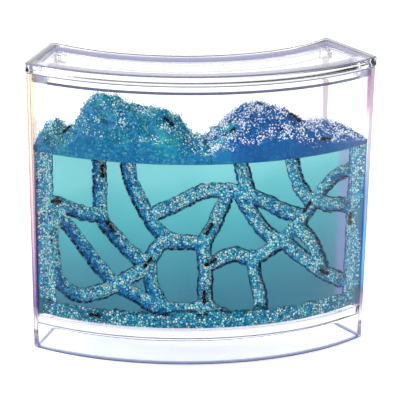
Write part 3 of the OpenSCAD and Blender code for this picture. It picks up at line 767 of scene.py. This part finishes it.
def build_gel(material):
    """The set gel: its front is a fine sheet with the tunnels and the trench dug into it."""
    depth = cavity_depth(0.2)
    rows = []
    for j, z in enumerate(SHEET_Z):
        height = upward(z)
        i = inset_at(GEL_INSET, height)
        whole = outline(i, i, i, GEL_CORNER_R)
        rest = whole[FRONT_STEPS + 1:len(whole) - FRONT_STEPS]
        turn = SHEET_S / SHEET_HALF_W * front_half(z)
        radius = FRONT_R0 - i - depth[j]
        front = on_circle(FRONT_CY, radius, turn)
        rows.append(at_height(np.concatenate([front[:-1], rest[:-1]]), height))
    bm = bmesh.new()
    loops = [add_loop(bm, row) for row in rows]
    skin(bm, loops)
    cap(bm, loops[:1])
    cap(bm, loops[-1:])
    return finish_piece("gel", mesh_from_bmesh("gel", bm), [material], ["gel_block"])


def sheet_faces(kept):
    """Quads of the sheet's grid whose four corners are kept, and the number of each kept corner."""
    number = np.full(kept.shape, -1)
    cells = kept[:-1, :-1] & kept[1:, :-1] & kept[:-1, 1:] & kept[1:, 1:]
    used = np.zeros(kept.shape, bool)
    for dj, di in ((0, 0), (0, 1), (1, 1), (1, 0)):
        used[dj:dj + cells.shape[0], di:di + cells.shape[1]] |= cells
    number[used] = np.arange(used.sum())
    j, i = np.nonzero(cells)
    faces = np.stack([number[j, i], number[j, i + 1], number[j + 1, i + 1], number[j + 1, i]], -1)
    return used, faces


# The lining's rim lies just in front of the gel's face.
FLANGE_SINK = -0.06


def build_lining(material):
    """The bitten lining of the tunnels, a thin lumpy shell just in front of the gel."""
    rim = OUTSIDE + WOBBLE
    flange_w, shell_t = 0.6, 0.12
    kept = (rim < flange_w) & (GRID_Z > TRENCH_LINE - 1.0) & (np.abs(GRID_S) < SHEET_HALF_W - flange_w)
    bitten = 0.32 * lumps(GRID_S, GRID_Z, 1.1, 21) + 0.2 * lumps(GRID_S, GRID_Z, 0.6, 22)
    depth = np.where(rim < 0.0, cavity_depth(0.0) - 0.45 + bitten, FLANGE_SINK)
    used, faces = sheet_faces(kept)
    depth = np.maximum(depth[used], FLANGE_SINK)
    mesh = mesh_from("tunnel_lining", on_sheet(FITTED_S[used], GRID_Z[used], depth), faces)
    way = np.hypot(WAY_S, WAY_Z) + 0.01
    # Painted shade: marks the lower left side of each tunnel, which the material colours mid blue.
    toward_shade = (-0.75 * WAY_S - 0.66 * WAY_Z) / way * np.clip(way / RADIUS, 0, 1)
    shaded = np.clip((toward_shade + 0.35 * lumps(GRID_S, GRID_Z, 3.0, 23) - 0.35) / 0.25, 0, 1)
    for title, values in (("inside", -rim), ("shaded", shaded)):
        shown = mesh.attributes.new(title, "FLOAT", "POINT")
        shown.data.foreach_set("value", values[used].astype(np.float32))
    piece = finish_piece("tunnel_lining", mesh, [material], sharp_deg=None)
    mesh.shade_smooth()
    thick = piece.modifiers.new("thickness", "SOLIDIFY")
    thick.thickness = shell_t * MM
    thick.offset = -1.0
    return piece


# ---- crumbs ----

def grid_quads(m, n):
    """The numbers of a grid's points, and the quads between them."""
    at = np.arange(m * n).reshape(m, n)
    return at, np.stack([at[:-1, :-1], at[1:, :-1], at[1:, 1:], at[:-1, 1:]], -1).reshape(-1, 4)


def crumb_grid(points_top, points_bottom):
    """A closed slab from two grids of points, top first."""
    m, n = points_top.shape[:2]
    at, quads = grid_quads(m, n)
    points = np.concatenate([points_top.reshape(-1, 3), points_bottom.reshape(-1, 3)])
    border = np.concatenate([at[:-1, 0], at[-1, :-1], at[:0:-1, -1], at[0, :0:-1]])
    after = np.roll(border, -1)
    sides = np.stack([border, border + m * n, after + m * n, after], -1)
    return points, np.concatenate([quads, quads[:, [0, 3, 2, 1]] + m * n, sides])


def outward(mesh):
    """Turns every face of a closed mesh outwards."""
    bm = bmesh.new()
    bm.from_mesh(mesh)
    bmesh.ops.recalc_face_normals(bm, faces=bm.faces)
    bm.to_mesh(mesh)
    bm.free()
    return mesh


# Low crumbs at the ends of the gel and between the heaps, over the solids' own bumps.
LOW_CRUMBS_LEFT = [(-95, 0.2, 7), (0, 0.15, 9)]
LOW_CRUMBS_RIGHT = [(88, 0.2, 12), (0, 0.15, 9)]
# Each heap's bumps, side and seed.
HEAPS = {"left": (HEAP_LEFT + LOW_CRUMBS_LEFT, -1, 41), "right": (HEAP_RIGHT + LOW_CRUMBS_RIGHT, 1, 51)}
HEAP_COLUMNS, HEAP_ROWS = 190, 50


def heap_top(name, from_middle, from_end, inset):
    """The lumpy top of a heap as a grid of points, from near the middle to near the end of the gel."""
    bumps, side, seed = HEAPS[name]
    s0, s1 = sorted((side * from_middle, side * (SHEET_HALF_W - from_end)))
    s, d = np.meshgrid(np.linspace(s0, s1, HEAP_COLUMNS), np.linspace(0, 1, HEAP_ROWS), indexing="ij")
    plan = place(s / SHEET_HALF_W, d, HEAP_BASE, inset)
    high = heap_height(bumps, s, d)
    rough = np.clip(high / 6, 0, 1)
    high = high + rough * (1.3 * lumps(plan[..., 0], plan[..., 1], 6.0, seed)
                           + 0.8 * lumps(plan[..., 0], plan[..., 1], 2.4, seed + 1)
                           + 0.35 * lumps(plan[..., 0], plan[..., 1], 1.0, seed + 2))
    return np.concatenate([plan, (HEAP_BASE + np.maximum(high, 0.4))[..., None]], -1)


def build_heap(name, material):
    top = heap_top(name, 0.2, 0.0, GEL_INSET)
    bottom = top.copy()
    bottom[..., 2] = HEAP_BASE
    title = f"crumb_heap_{name}_mass"
    mesh = outward(mesh_from(title, *crumb_grid(top, bottom)))
    return finish_piece(title, mesh, [material], [f"crumb_heap_{name}"], sharp_deg=60.0)


def build_bed(material):
    """Crumbs that fill the trench along the foot of the gel, with a lumpy front and top."""
    low, deep = SHEET_LOW + 0.05, TRENCH_DEPTH - CRUMB_GAP - BED_SET
    end = (SHEET_HALF_W - 0.8) * front_half(SHEET_LOW + 2) / SHEET_TURN
    s = np.linspace(-end, end, 380)[:, None]
    t = np.linspace(0, 1, 30)[None, :]
    along, round_it = s + 0 * t, t + 0 * s
    # The section goes up the front face and then back along the top.
    up = np.clip(round_it / 0.5, 0, 1)
    back = np.clip((round_it - 0.5) / 0.5, 0, 1)
    crest = TRENCH_H - 1.1 + 0.7 * lumps(along, 0 * along, 6.0, 31)
    z = low + crest * up
    rough = 0.4 * lumps(along, z + 9 * back, 1.6, 32) + 0.25 * lumps(along, z + 9 * back, 0.8, 33)
    sink = BED_SET + deep * back + rough * (1 - back) * np.clip(up * 6, 0, 1)
    top = on_sheet(along, z + rough * back * (1 - back) * 3, sink)
    bottom = on_sheet(along, low + 0 * along, BED_SET + deep * round_it)
    mesh = outward(mesh_from("crumb_bed_mass", *crumb_grid(top, bottom)))
    return finish_piece("crumb_bed_mass", mesh, [material], ["crumb_bed"], sharp_deg=60.0)


def grain_tree(name, stacked):
    """Geometry Nodes that strew crumbs over a sheet: four angular shapes, each turned and sized at
    random, with a shade of its own. A shape holds so many crumbs, stuck one on the next."""
    shape_count, step_out, step_up, most_lean = 4, 0.9, 1.2, 0.6
    tree = bpy.data.node_groups.new(name, "GeometryNodeTree")
    for title, kind in (("Geometry", "Geometry"), ("Per square metre", "Float"), ("Least radius", "Float"),
                        ("Greatest radius", "Float"), ("Seed", "Int"), ("Finish", "Material")):
        tree.interface.new_socket(title, in_out="INPUT", socket_type="NodeSocket" + kind)
    tree.interface.new_socket("Geometry", in_out="OUTPUT", socket_type="NodeSocketGeometry")
    given = node(tree, "NodeGroupInput").outputs
    seed = given["Seed"]
    shapes = node(tree, "GeometryNodeGeometryToInstance")
    for k in range(shape_count):
        together = node(tree, "GeometryNodeJoinGeometry")
        for n in range(stacked):
            ball = node(tree, "GeometryNodeMeshUVSphere", {"Segments": 4, "Rings": 2, "Radius": 1.0})
            spot = node(tree, "GeometryNodeInputPosition")
            push = node(tree, "TexNoise", {"Vector": spot, "Scale": 0.9, "W": 3.7 * k + 1.3 * n + 1.0},
                        noise_dimensions="4D")
            centred = node(tree, "VectorMath", {0: push.outputs["Color"], 1: (0.5, 0.5, 0.5)},
                           operation="SUBTRACT")
            spread = node(tree, "VectorMath", {0: centred, "Scale": 2.6}, operation="SCALE")
            way = 2.1 * k + 1.7 * n
            lean = (step_out * n * math.cos(way), step_out * n * math.sin(way), step_up * n)
            moved = node(tree, "VectorMath", {0: spread, 1: lean}, operation="ADD")
            shaped = node(tree, "GeometryNodeSetPosition", {"Geometry": ball, "Offset": moved})
            tree.links.new(shaped.outputs[0], together.inputs[0])
        tree.links.new(together.outputs[0], shapes.inputs[0])
    strewn = node(tree, "GeometryNodeDistributePointsOnFaces", {
        "Mesh": given["Geometry"], "Density": given["Per square metre"], "Seed": seed})
    lean = 2 * math.pi if stacked == 1 else most_lean
    pick = node(tree, "FunctionNodeRandomValue", {4: 0, 5: shape_count - 1, "Seed": seed}, data_type="INT")
    turn = node(tree, "FunctionNodeRandomValue", {
        0: (-lean, -lean, 0.0), 1: (lean, lean, 2 * math.pi), "Seed": seed}, data_type="FLOAT_VECTOR")
    size = node(tree, "FunctionNodeRandomValue", {
        2: given["Least radius"], 3: given["Greatest radius"], "Seed": seed}, data_type="FLOAT")
    placed = node(tree, "GeometryNodeInstanceOnPoints", {
        "Points": strewn, "Instance": shapes, "Pick Instance": True, "Instance Index": pick, "Rotation": turn,
        "Scale": size})
    shade = node(tree, "FunctionNodeRandomValue", {"Seed": seed}, data_type="FLOAT")
    shaded = node(tree, "GeometryNodeStoreNamedAttribute", {
        "Geometry": placed, "Name": "shade", "Value": shade}, data_type="FLOAT", domain="INSTANCE")
    real = node(tree, "GeometryNodeRealizeInstances", {"Geometry": shaded})
    done = node(tree, "GeometryNodeSetMaterial", {"Geometry": real, "Material": given["Finish"]})
    node(tree, "NodeGroupOutput", {"Geometry": done})
    return tree


def strew(name, sheet, tree, material, per_mm2, radii, seed):
    """Strews crumbs over a sheet's mesh and returns them as one plain piece."""
    carrier = bpy.data.objects.new(name + "_sheet", sheet)
    bpy.context.collection.objects.link(carrier)
    modifier = carrier.modifiers.new("crumbs", "NODES")
    modifier.node_group = tree
    values = {"Per square metre": per_mm2 / MM**2, "Least radius": radii[0] * MM,
              "Greatest radius": radii[1] * MM, "Seed": seed, "Finish": material}
    for item in tree.interface.items_tree:
        if item.name in values:
            modifier[item.identifier] = values[item.name]
    bpy.context.view_layer.update()
    depsgraph = bpy.context.evaluated_depsgraph_get()
    mesh = bpy.data.meshes.new_from_object(carrier.evaluated_get(depsgraph), preserve_all_data_layers=True,
                                           depsgraph=depsgraph)
    mesh.name = name
    bpy.data.objects.remove(carrier)
    return finish_piece(name, mesh, [], sharp_deg=None)


def strew_tunnels(tree, material):
    """Crumbs on the tunnels' backs, clear of the ants."""
    inner = (OUTSIDE + WOBBLE < -0.8) & (GRID_Z > TRENCH_LINE) & (np.abs(GRID_S) < SHEET_HALF_W - 1.5)
    for s, z, _ in TUNNEL_ANTS:
        inner &= np.hypot(GRID_S - s, GRID_Z - z) > ANT_LEN / 2
    used, faces = sheet_faces(inner)
    points = on_sheet(FITTED_S[used], GRID_Z[used], (cavity_depth(0.0) - 0.5)[used])
    strew("tunnel_crumbs", mesh_from("tunnel_sheet", points, faces), tree, material, per_mm2=0.4,
          radii=(0.25, 0.5), seed=61)


def heap_sheet(name, title):
    """A heap's top as a mesh, without what lies near the ants on it."""
    points = heap_top(name, 0.5, 0.5, GEL_INSET + 0.7)
    _, quads = grid_quads(*points.shape[:2])
    middle = points.reshape(-1, 3)[quads].mean(1)[:, :2]
    for s, d, _ in HEAP_ANTS:
        spot = place(np.float64(s / SHEET_HALF_W), np.float64(d), HEAP_BASE, GEL_INSET)
        away = np.linalg.norm(middle - spot, axis=1)
        quads, middle = quads[away > ANT_LEN / 2], middle[away > ANT_LEN / 2]
    return mesh_from(title, points, quads)


def strew_heap(name, singles, tufts, material):
    """Single crumbs and tufts of crumbs over a heap."""
    seed = HEAPS[name][2]
    strew(f"heap_{name}_crumbs", heap_sheet(name, f"heap_{name}_sheet"), singles, material, per_mm2=0.9,
          radii=(0.2, 0.45), seed=seed + 20)
    strew(f"heap_{name}_tufts", heap_sheet(name, f"heap_{name}_tuft_sheet"), tufts, material, per_mm2=0.28,
          radii=(0.22, 0.42), seed=seed + 30)


# ---- ants ----

# The ants are drawn 7 mm long.
ANT_SCALE = ANT_LEN / 7


def tube(points, radii, sides, squash=1.0):
    """A closed tapered tube along points, with the sections' height over their width."""
    points = [Vector(p) for p in points]
    verts, faces = [], []
    side_way = Vector((0, 1, 0))
    for k, (p, r) in enumerate(zip(points, radii)):
        along = (points[min(k + 1, len(points) - 1)] - points[max(k - 1, 0)]).normalized()
        up = along.cross(side_way)
        if up.length < 0.05:
            up = along.cross(Vector((0, 0, 1)))
        up.normalize()
        across = up.cross(along).normalized()
        for n in range(sides):
            a = 2 * math.pi * n / sides
            verts.append(p + across * r * math.cos(a) + up * r * squash * math.sin(a))
    for k in range(len(points) - 1):
        for n in range(sides):
            m = (n + 1) % sides
            faces.append((k * sides + n, k * sides + m, (k + 1) * sides + m, (k + 1) * sides + n))
    faces.append(tuple(range(sides)))
    faces.append(tuple((len(points) - 1) * sides + n for n in reversed(range(sides))))
    return verts, faces


def swell(x0, x1, z, radius, fullness):
    """Centre line and radii of an egg-shaped part."""
    steps = np.linspace(0.03, 0.97, 7)
    return ([(x0 + (x1 - x0) * t, 0.0, z) for t in steps],
            [radius * math.sin(math.pi * t) ** fullness for t in steps])


def ant_parts():
    """The pieces of one ant that faces +X on the plane z = 0: (vertices, faces) each."""
    body_sides, squash = 14, 0.9
    parts = []
    # Abdomen, waist, thorax in two parts, and head.
    for part in ((-3.5, -0.55, 1.25, 1.05, 0.5), (-0.6, 0.1, 1.15, 0.42, 0.8), (-0.05, 1.05, 1.32, 0.62, 0.5),
                 (0.85, 2.15, 1.38, 0.7, 0.5), (2.05, 3.5, 1.25, 0.88, 0.5)):
        parts.append(tube(*swell(*part), body_sides, squash))
    # Bands of the abdomen stand a little proud.
    for x, r in ((-1.1, 0.95), (-1.75, 1.06), (-2.4, 1.02)):
        parts.append(tube([(x - 0.06, 0, 1.25), (x, 0, 1.25), (x + 0.05, 0, 1.25)],
                          [r - 0.05, r + 0.02, r - 0.05], body_sides, squash))
    for side in (-1, 1):
        for hip, knee, foot in ((1.6, 2.1, 2.7), (1.1, 1.1, 1.0), (0.6, -0.1, -1.2)):
            hip_at = Vector((hip, side * 0.3, 1.05))
            knee_at = Vector((knee, side * 1.15, 1.55))
            ankle = Vector((knee + (foot - knee) * 0.7, side * 1.46, 0.5))
            foot_at = Vector((foot, side * 1.6, 0.06))
            parts.append(tube([hip_at, hip_at.lerp(knee_at, 0.35), knee_at], [0.2, 0.22, 0.14], 6))
            parts.append(tube([knee_at, knee_at.lerp(ankle, 0.5), ankle], [0.15, 0.14, 0.09], 6))
            parts.append(tube([ankle, ankle.lerp(foot_at, 0.6), foot_at], [0.1, 0.08, 0.06], 5))
        root, elbow = Vector((3.1, side * 0.3, 1.5)), Vector((3.75, side * 0.8, 1.85))
        tip = Vector((4.4, side * 1.0, 1.2))
        parts.append(tube([root, elbow], [0.09, 0.08], 6))
        parts.append(tube([elbow, elbow.lerp(tip, 0.6), tip], [0.08, 0.1, 0.07], 6))
        # Jaw and eye.
        parts.append(tube([(3.2, side * 0.28, 1.1), (3.6, side * 0.22, 1.0), (3.75, side * 0.05, 0.98)],
                          [0.13, 0.1, 0.04], 6))
        eye = np.linspace(0.05, 0.95, 5)
        parts.append(tube([(2.85, side * (0.6 + 0.16 * t), 1.5) for t in eye],
                          [0.17 * math.sin(math.pi * (0.5 + t / 2)) + 0.01 for t in eye], 8))
    return parts


def build_ant(name, stance, material, cad_node):
    bm = bmesh.new()
    for verts, faces in ant_parts():
        made = [bm.verts.new(stance @ (v * ANT_SCALE)) for v in verts]
        for face in faces:
            bm.faces.new([made[k] for k in face])
    return finish_piece(name, mesh_from_bmesh(name, bm), [material], [cad_node], sharp_deg=50.0)


def turned(axis, degrees):
    return Matrix.Rotation(math.radians(degrees), 4, axis)


def wall_stance(s, z, heading, sink):
    """Where an ant stands on a wall that faces forwards, its feet sunk behind the gel's face."""
    bearing = math.degrees(s / SHEET_HALF_W * SHEET_TURN)
    at = on_sheet(np.float64(s), np.float64(z), np.float64(sink))
    return Matrix.Translation(Vector(at)) @ turned("Z", bearing) @ turned("X", 90) @ turned("Z", heading)


def heap_stance(s, d, heading):
    """Where an ant stands on a heap, square to the slope under it."""
    bumps = HEAP_LEFT if s < 0 else HEAP_RIGHT
    bearing = s / SHEET_HALF_W * SHEET_TURN
    reach = ANT_LEN / 3
    step_s = reach / FRONT_R0 / (SHEET_TURN / SHEET_HALF_W)
    u = s / SHEET_HALF_W
    here = place(u, d, HEAP_BASE, GEL_INSET)
    step_d = reach / np.linalg.norm(place(u, 1, HEAP_BASE, GEL_INSET) - place(u, 0, HEAP_BASE, GEL_INSET))
    rise_s = math.atan((heap_height(bumps, s + step_s, d) - heap_height(bumps, s - step_s, d)) / (2 * reach))
    rise_d = (heap_height(bumps, s, d + step_d) - heap_height(bumps, s, d - step_d)) / (2 * reach)
    at = Vector((here[0], here[1], HEAP_BASE + heap_height(bumps, s, d)))
    return (Matrix.Translation(at) @ turned("Z", math.degrees(bearing)) @ turned("Y", -math.degrees(rise_s))
            @ turned("X", math.degrees(math.atan(rise_d * math.cos(rise_s))))
            @ Matrix.Translation((0, 0, HEAP_ANT_GAP)) @ turned("Z", heading))


def build_ants(material):
    # A little over half the width that an ant's feet span; it sets how deep one stands in a round tunnel.
    stance = 1.9 * ANT_SCALE
    for k, (s, z, heading) in enumerate(TUNNEL_ANTS, 1):
        radius = END_TUNNEL_R if s == END_AT else TUNNEL_R
        tunnel_floor = TUNNEL_SET + math.sqrt((0.9 * radius) ** 2 - stance**2) - ANT_GAP
        build_ant(f"ant_in_tunnel_{k}", wall_stance(s, z, heading, tunnel_floor), material, f"tunnel_ant_{k}")
    for k, (s, heading) in enumerate(BED_ANTS, 1):
        at = wall_stance(s, SHEET_LOW + TRENCH_H / 2, heading, BED_SET - ANT_GAP)
        build_ant(f"ant_on_bed_{k}", at, material, f"bed_ant_{k}")
    for k, (s, d, heading) in enumerate(HEAP_ANTS, 1):
        build_ant(f"ant_on_heap_{k}", heap_stance(s, d, heading), material, f"heap_ant_{k}")


# ---- camera, light and floor ----

# Where the photograph was taken from, in metres, and how the camera is turned from looking along +Y.
CAMERA_AT = (-0.184301, -1.346958, 0.448769)
CAMERA_TURN = (-0.268, -0.011, -0.133)


def build_camera():
    """The photograph's viewing angle."""
    data = bpy.data.cameras.new("camera")
    data.sensor_width = 36.0
    data.lens = 247.27
    camera = bpy.data.objects.new("camera", data)
    camera.location = CAMERA_AT
    turn = Euler(CAMERA_TURN, "XYZ").to_matrix().to_4x4()
    camera.rotation_euler = (turn @ Matrix.Rotation(math.pi / 2, 4, "X")).to_euler()
    bpy.context.collection.objects.link(camera)
    bpy.context.scene.camera = camera


def area_lamp(name, at, aim, size, watts):
    data = bpy.data.lights.new(name, "AREA")
    data.shape = "SQUARE"
    data.size = size
    data.energy = watts
    lamp = bpy.data.objects.new(name, data)
    lamp.location = at
    lamp.rotation_euler = (Vector(aim) - Vector(at)).to_track_quat("-Z", "Y").to_euler()
    bpy.context.collection.objects.link(lamp)
    return lamp


def seen_directly(tree):
    """1 where the camera, a reflection or a refraction looks, 0 where light is gathered."""
    path = node(tree, "LightPath").outputs
    two = node(tree, "Math", {0: path["Is Camera Ray"], 1: path["Is Glossy Ray"]}, operation="MAXIMUM")
    return node(tree, "Math", {0: two, 1: path["Is Transmission Ray"]}, operation="MAXIMUM")


def build_studio():
    """A white table that runs out of sight, an even sky, a large lamp from behind on the left and a
    weaker one in front on the right."""
    material, tree = start_material("matt_white_table")
    card = node(tree, "BsdfDiffuse", {"Color": srgb("#FAFAFA")})
    # Where it is looked at, the table glows as much as it takes to come out white.
    lift = node(tree, "Math", {0: seen_directly(tree), 1: 0.38}, operation="MULTIPLY")
    glow = node(tree, "Emission", {"Color": srgb("#FFFFFF"), "Strength": lift})
    node(tree, "OutputMaterial", {"Surface": node(tree, "AddShader", {0: card, 1: glow})})
    half = 6000
    mesh = mesh_from("table", [(-half, -half, 0), (half, -half, 0), (half, half, 0), (-half, half, 0)],
                     [(0, 1, 2, 3)])
    mesh.materials.append(material)
    table = bpy.data.objects.new("table", mesh)
    bpy.context.collection.objects.link(table)

    world = bpy.data.worlds.new("studio")
    bpy.context.scene.world = world
    world.use_nodes = True
    tree = world.node_tree
    tree.nodes.clear()
    # White all round as far up as one looks through the plastic; dimmer overhead, so that its edges draw
    # dark lines, and where light is gathered.
    gathered = 0.62
    up = node(tree, "SeparateXYZ", {"Vector": node(tree, "TexCoord").outputs["Generated"]})
    overhead = node(tree, "MapRange", {
        "Value": up.outputs["Z"], "From Min": 0.45, "From Max": 0.75, "To Min": 1.0, "To Max": 0.65})
    seen = node(tree, "Mix", {0: seen_directly(tree), 2: gathered, 3: overhead}, data_type="FLOAT")
    sky = node(tree, "Background", {"Color": srgb("#FFFFFF"), "Strength": seen})
    node(tree, "OutputWorld", {"Surface": sky})

    middle = (0.0, 0.0, 0.07)
    area_lamp("key", (-0.75, 0.55, 1.1), middle, size=0.7, watts=14.0)
    area_lamp("front", (0.35, -1.4, 0.9), middle, size=0.9, watts=7.0)


# ---- the habitat ----

build_camera()
build_studio()

# Painted dark edge lines and painted gathered light on the mouldings: their colour stands in for light bent
# and gathered in the clear plastic.
painted_edge_shade = clear_styrene("clear_styrene_painted_dark_edge", plain("#9CA2B8"), through=0.5)
build_tank(clear_styrene("clear_styrene_tank", painted_corner_light), clear_styrene("clear_styrene_painted_foot_light", plain("#9498BC")),
           painted_edge_shade)
build_lid(clear_styrene("clear_styrene_lid", plain("#FDFDFE")),
          clear_styrene("clear_styrene_painted_rim_light", plain("#E8E8F4"), through=0.8), painted_edge_shade,
          clear_styrene("clear_styrene_painted_lip_line", plain("#788094"), through=0.5))
build_gel(set_gel())
build_lining(tunnel_lining())

green_blue = [(0.3, "#0870AC"), (0.5, "#147CB0"), (0.6, "#1C98B0"), (0.72, "#40C0AC")]
build_heap("left", dug_gel(
    "packed_green_blue_crumbs", [(0.0, "#004C78"), (0.45, "#0C7CAC"), (0.8, "#34ACC4"), (1.0, "#8CE4D4")],
    green_blue, crumb_mm=0.9, contrast=0.35, crack_shade="#003C64"))
build_heap("right", dug_gel(
    "packed_deep_blue_crumbs", [(0.0, "#04386C"), (0.45, "#0C5698"), (0.85, "#1C7CB4"), (1.0, "#64BCD8")],
    [(0.3, "#085090"), (0.55, "#0C5C9C"), (0.75, "#1C84AC")], crumb_mm=0.9, contrast=0.25, crack_shade="#032C58",
    from_left=green_blue))
build_bed(dug_gel(
    "loose_gel_crumbs",
    [(0.0, "#0A7CB0"), (0.3, "#20ACD0"), (0.55, "#5CDCEC"), (0.75, "#ACF8F0"), (1.0, "#F0FFF4")],
    [(0.3, "#1C98C0"), (0.6, "#58D0E0")], crumb_mm=1.3, contrast=0.9, crack_shade="#043462"))
build_ants(ant_shell())

single_crumbs = grain_tree("strewn crumbs", 1)
crumb_tufts = grain_tree("crumb tufts", 6)
strew_tunnels(single_crumbs, gel_grain("pale_gel_crumbs", [
    (0.0, "#03203C"), (0.25, "#0E6CA8"), (0.45, "#3CC4E4"), (0.65, "#A0F4F0"), (0.88, "#E8FFF4")]))
strew_heap("left", single_crumbs, crumb_tufts, gel_grain("green_blue_gel_crumbs", [
    (0.0, "#04303C"), (0.3, "#0C6480"), (0.55, "#1C94A0"), (0.78, "#54C4B0"), (0.96, "#F4FFFF")]))
strew_heap("right", single_crumbs, crumb_tufts, gel_grain("blue_white_gel_crumbs", [
    (0.0, "#041C3C"), (0.35, "#0C4C84"), (0.5, "#2C84B4"), (0.62, "#B4DCF0"), (0.75, "#FFFFFF")]))

bpy.context.scene.view_settings.view_transform = "Standard"
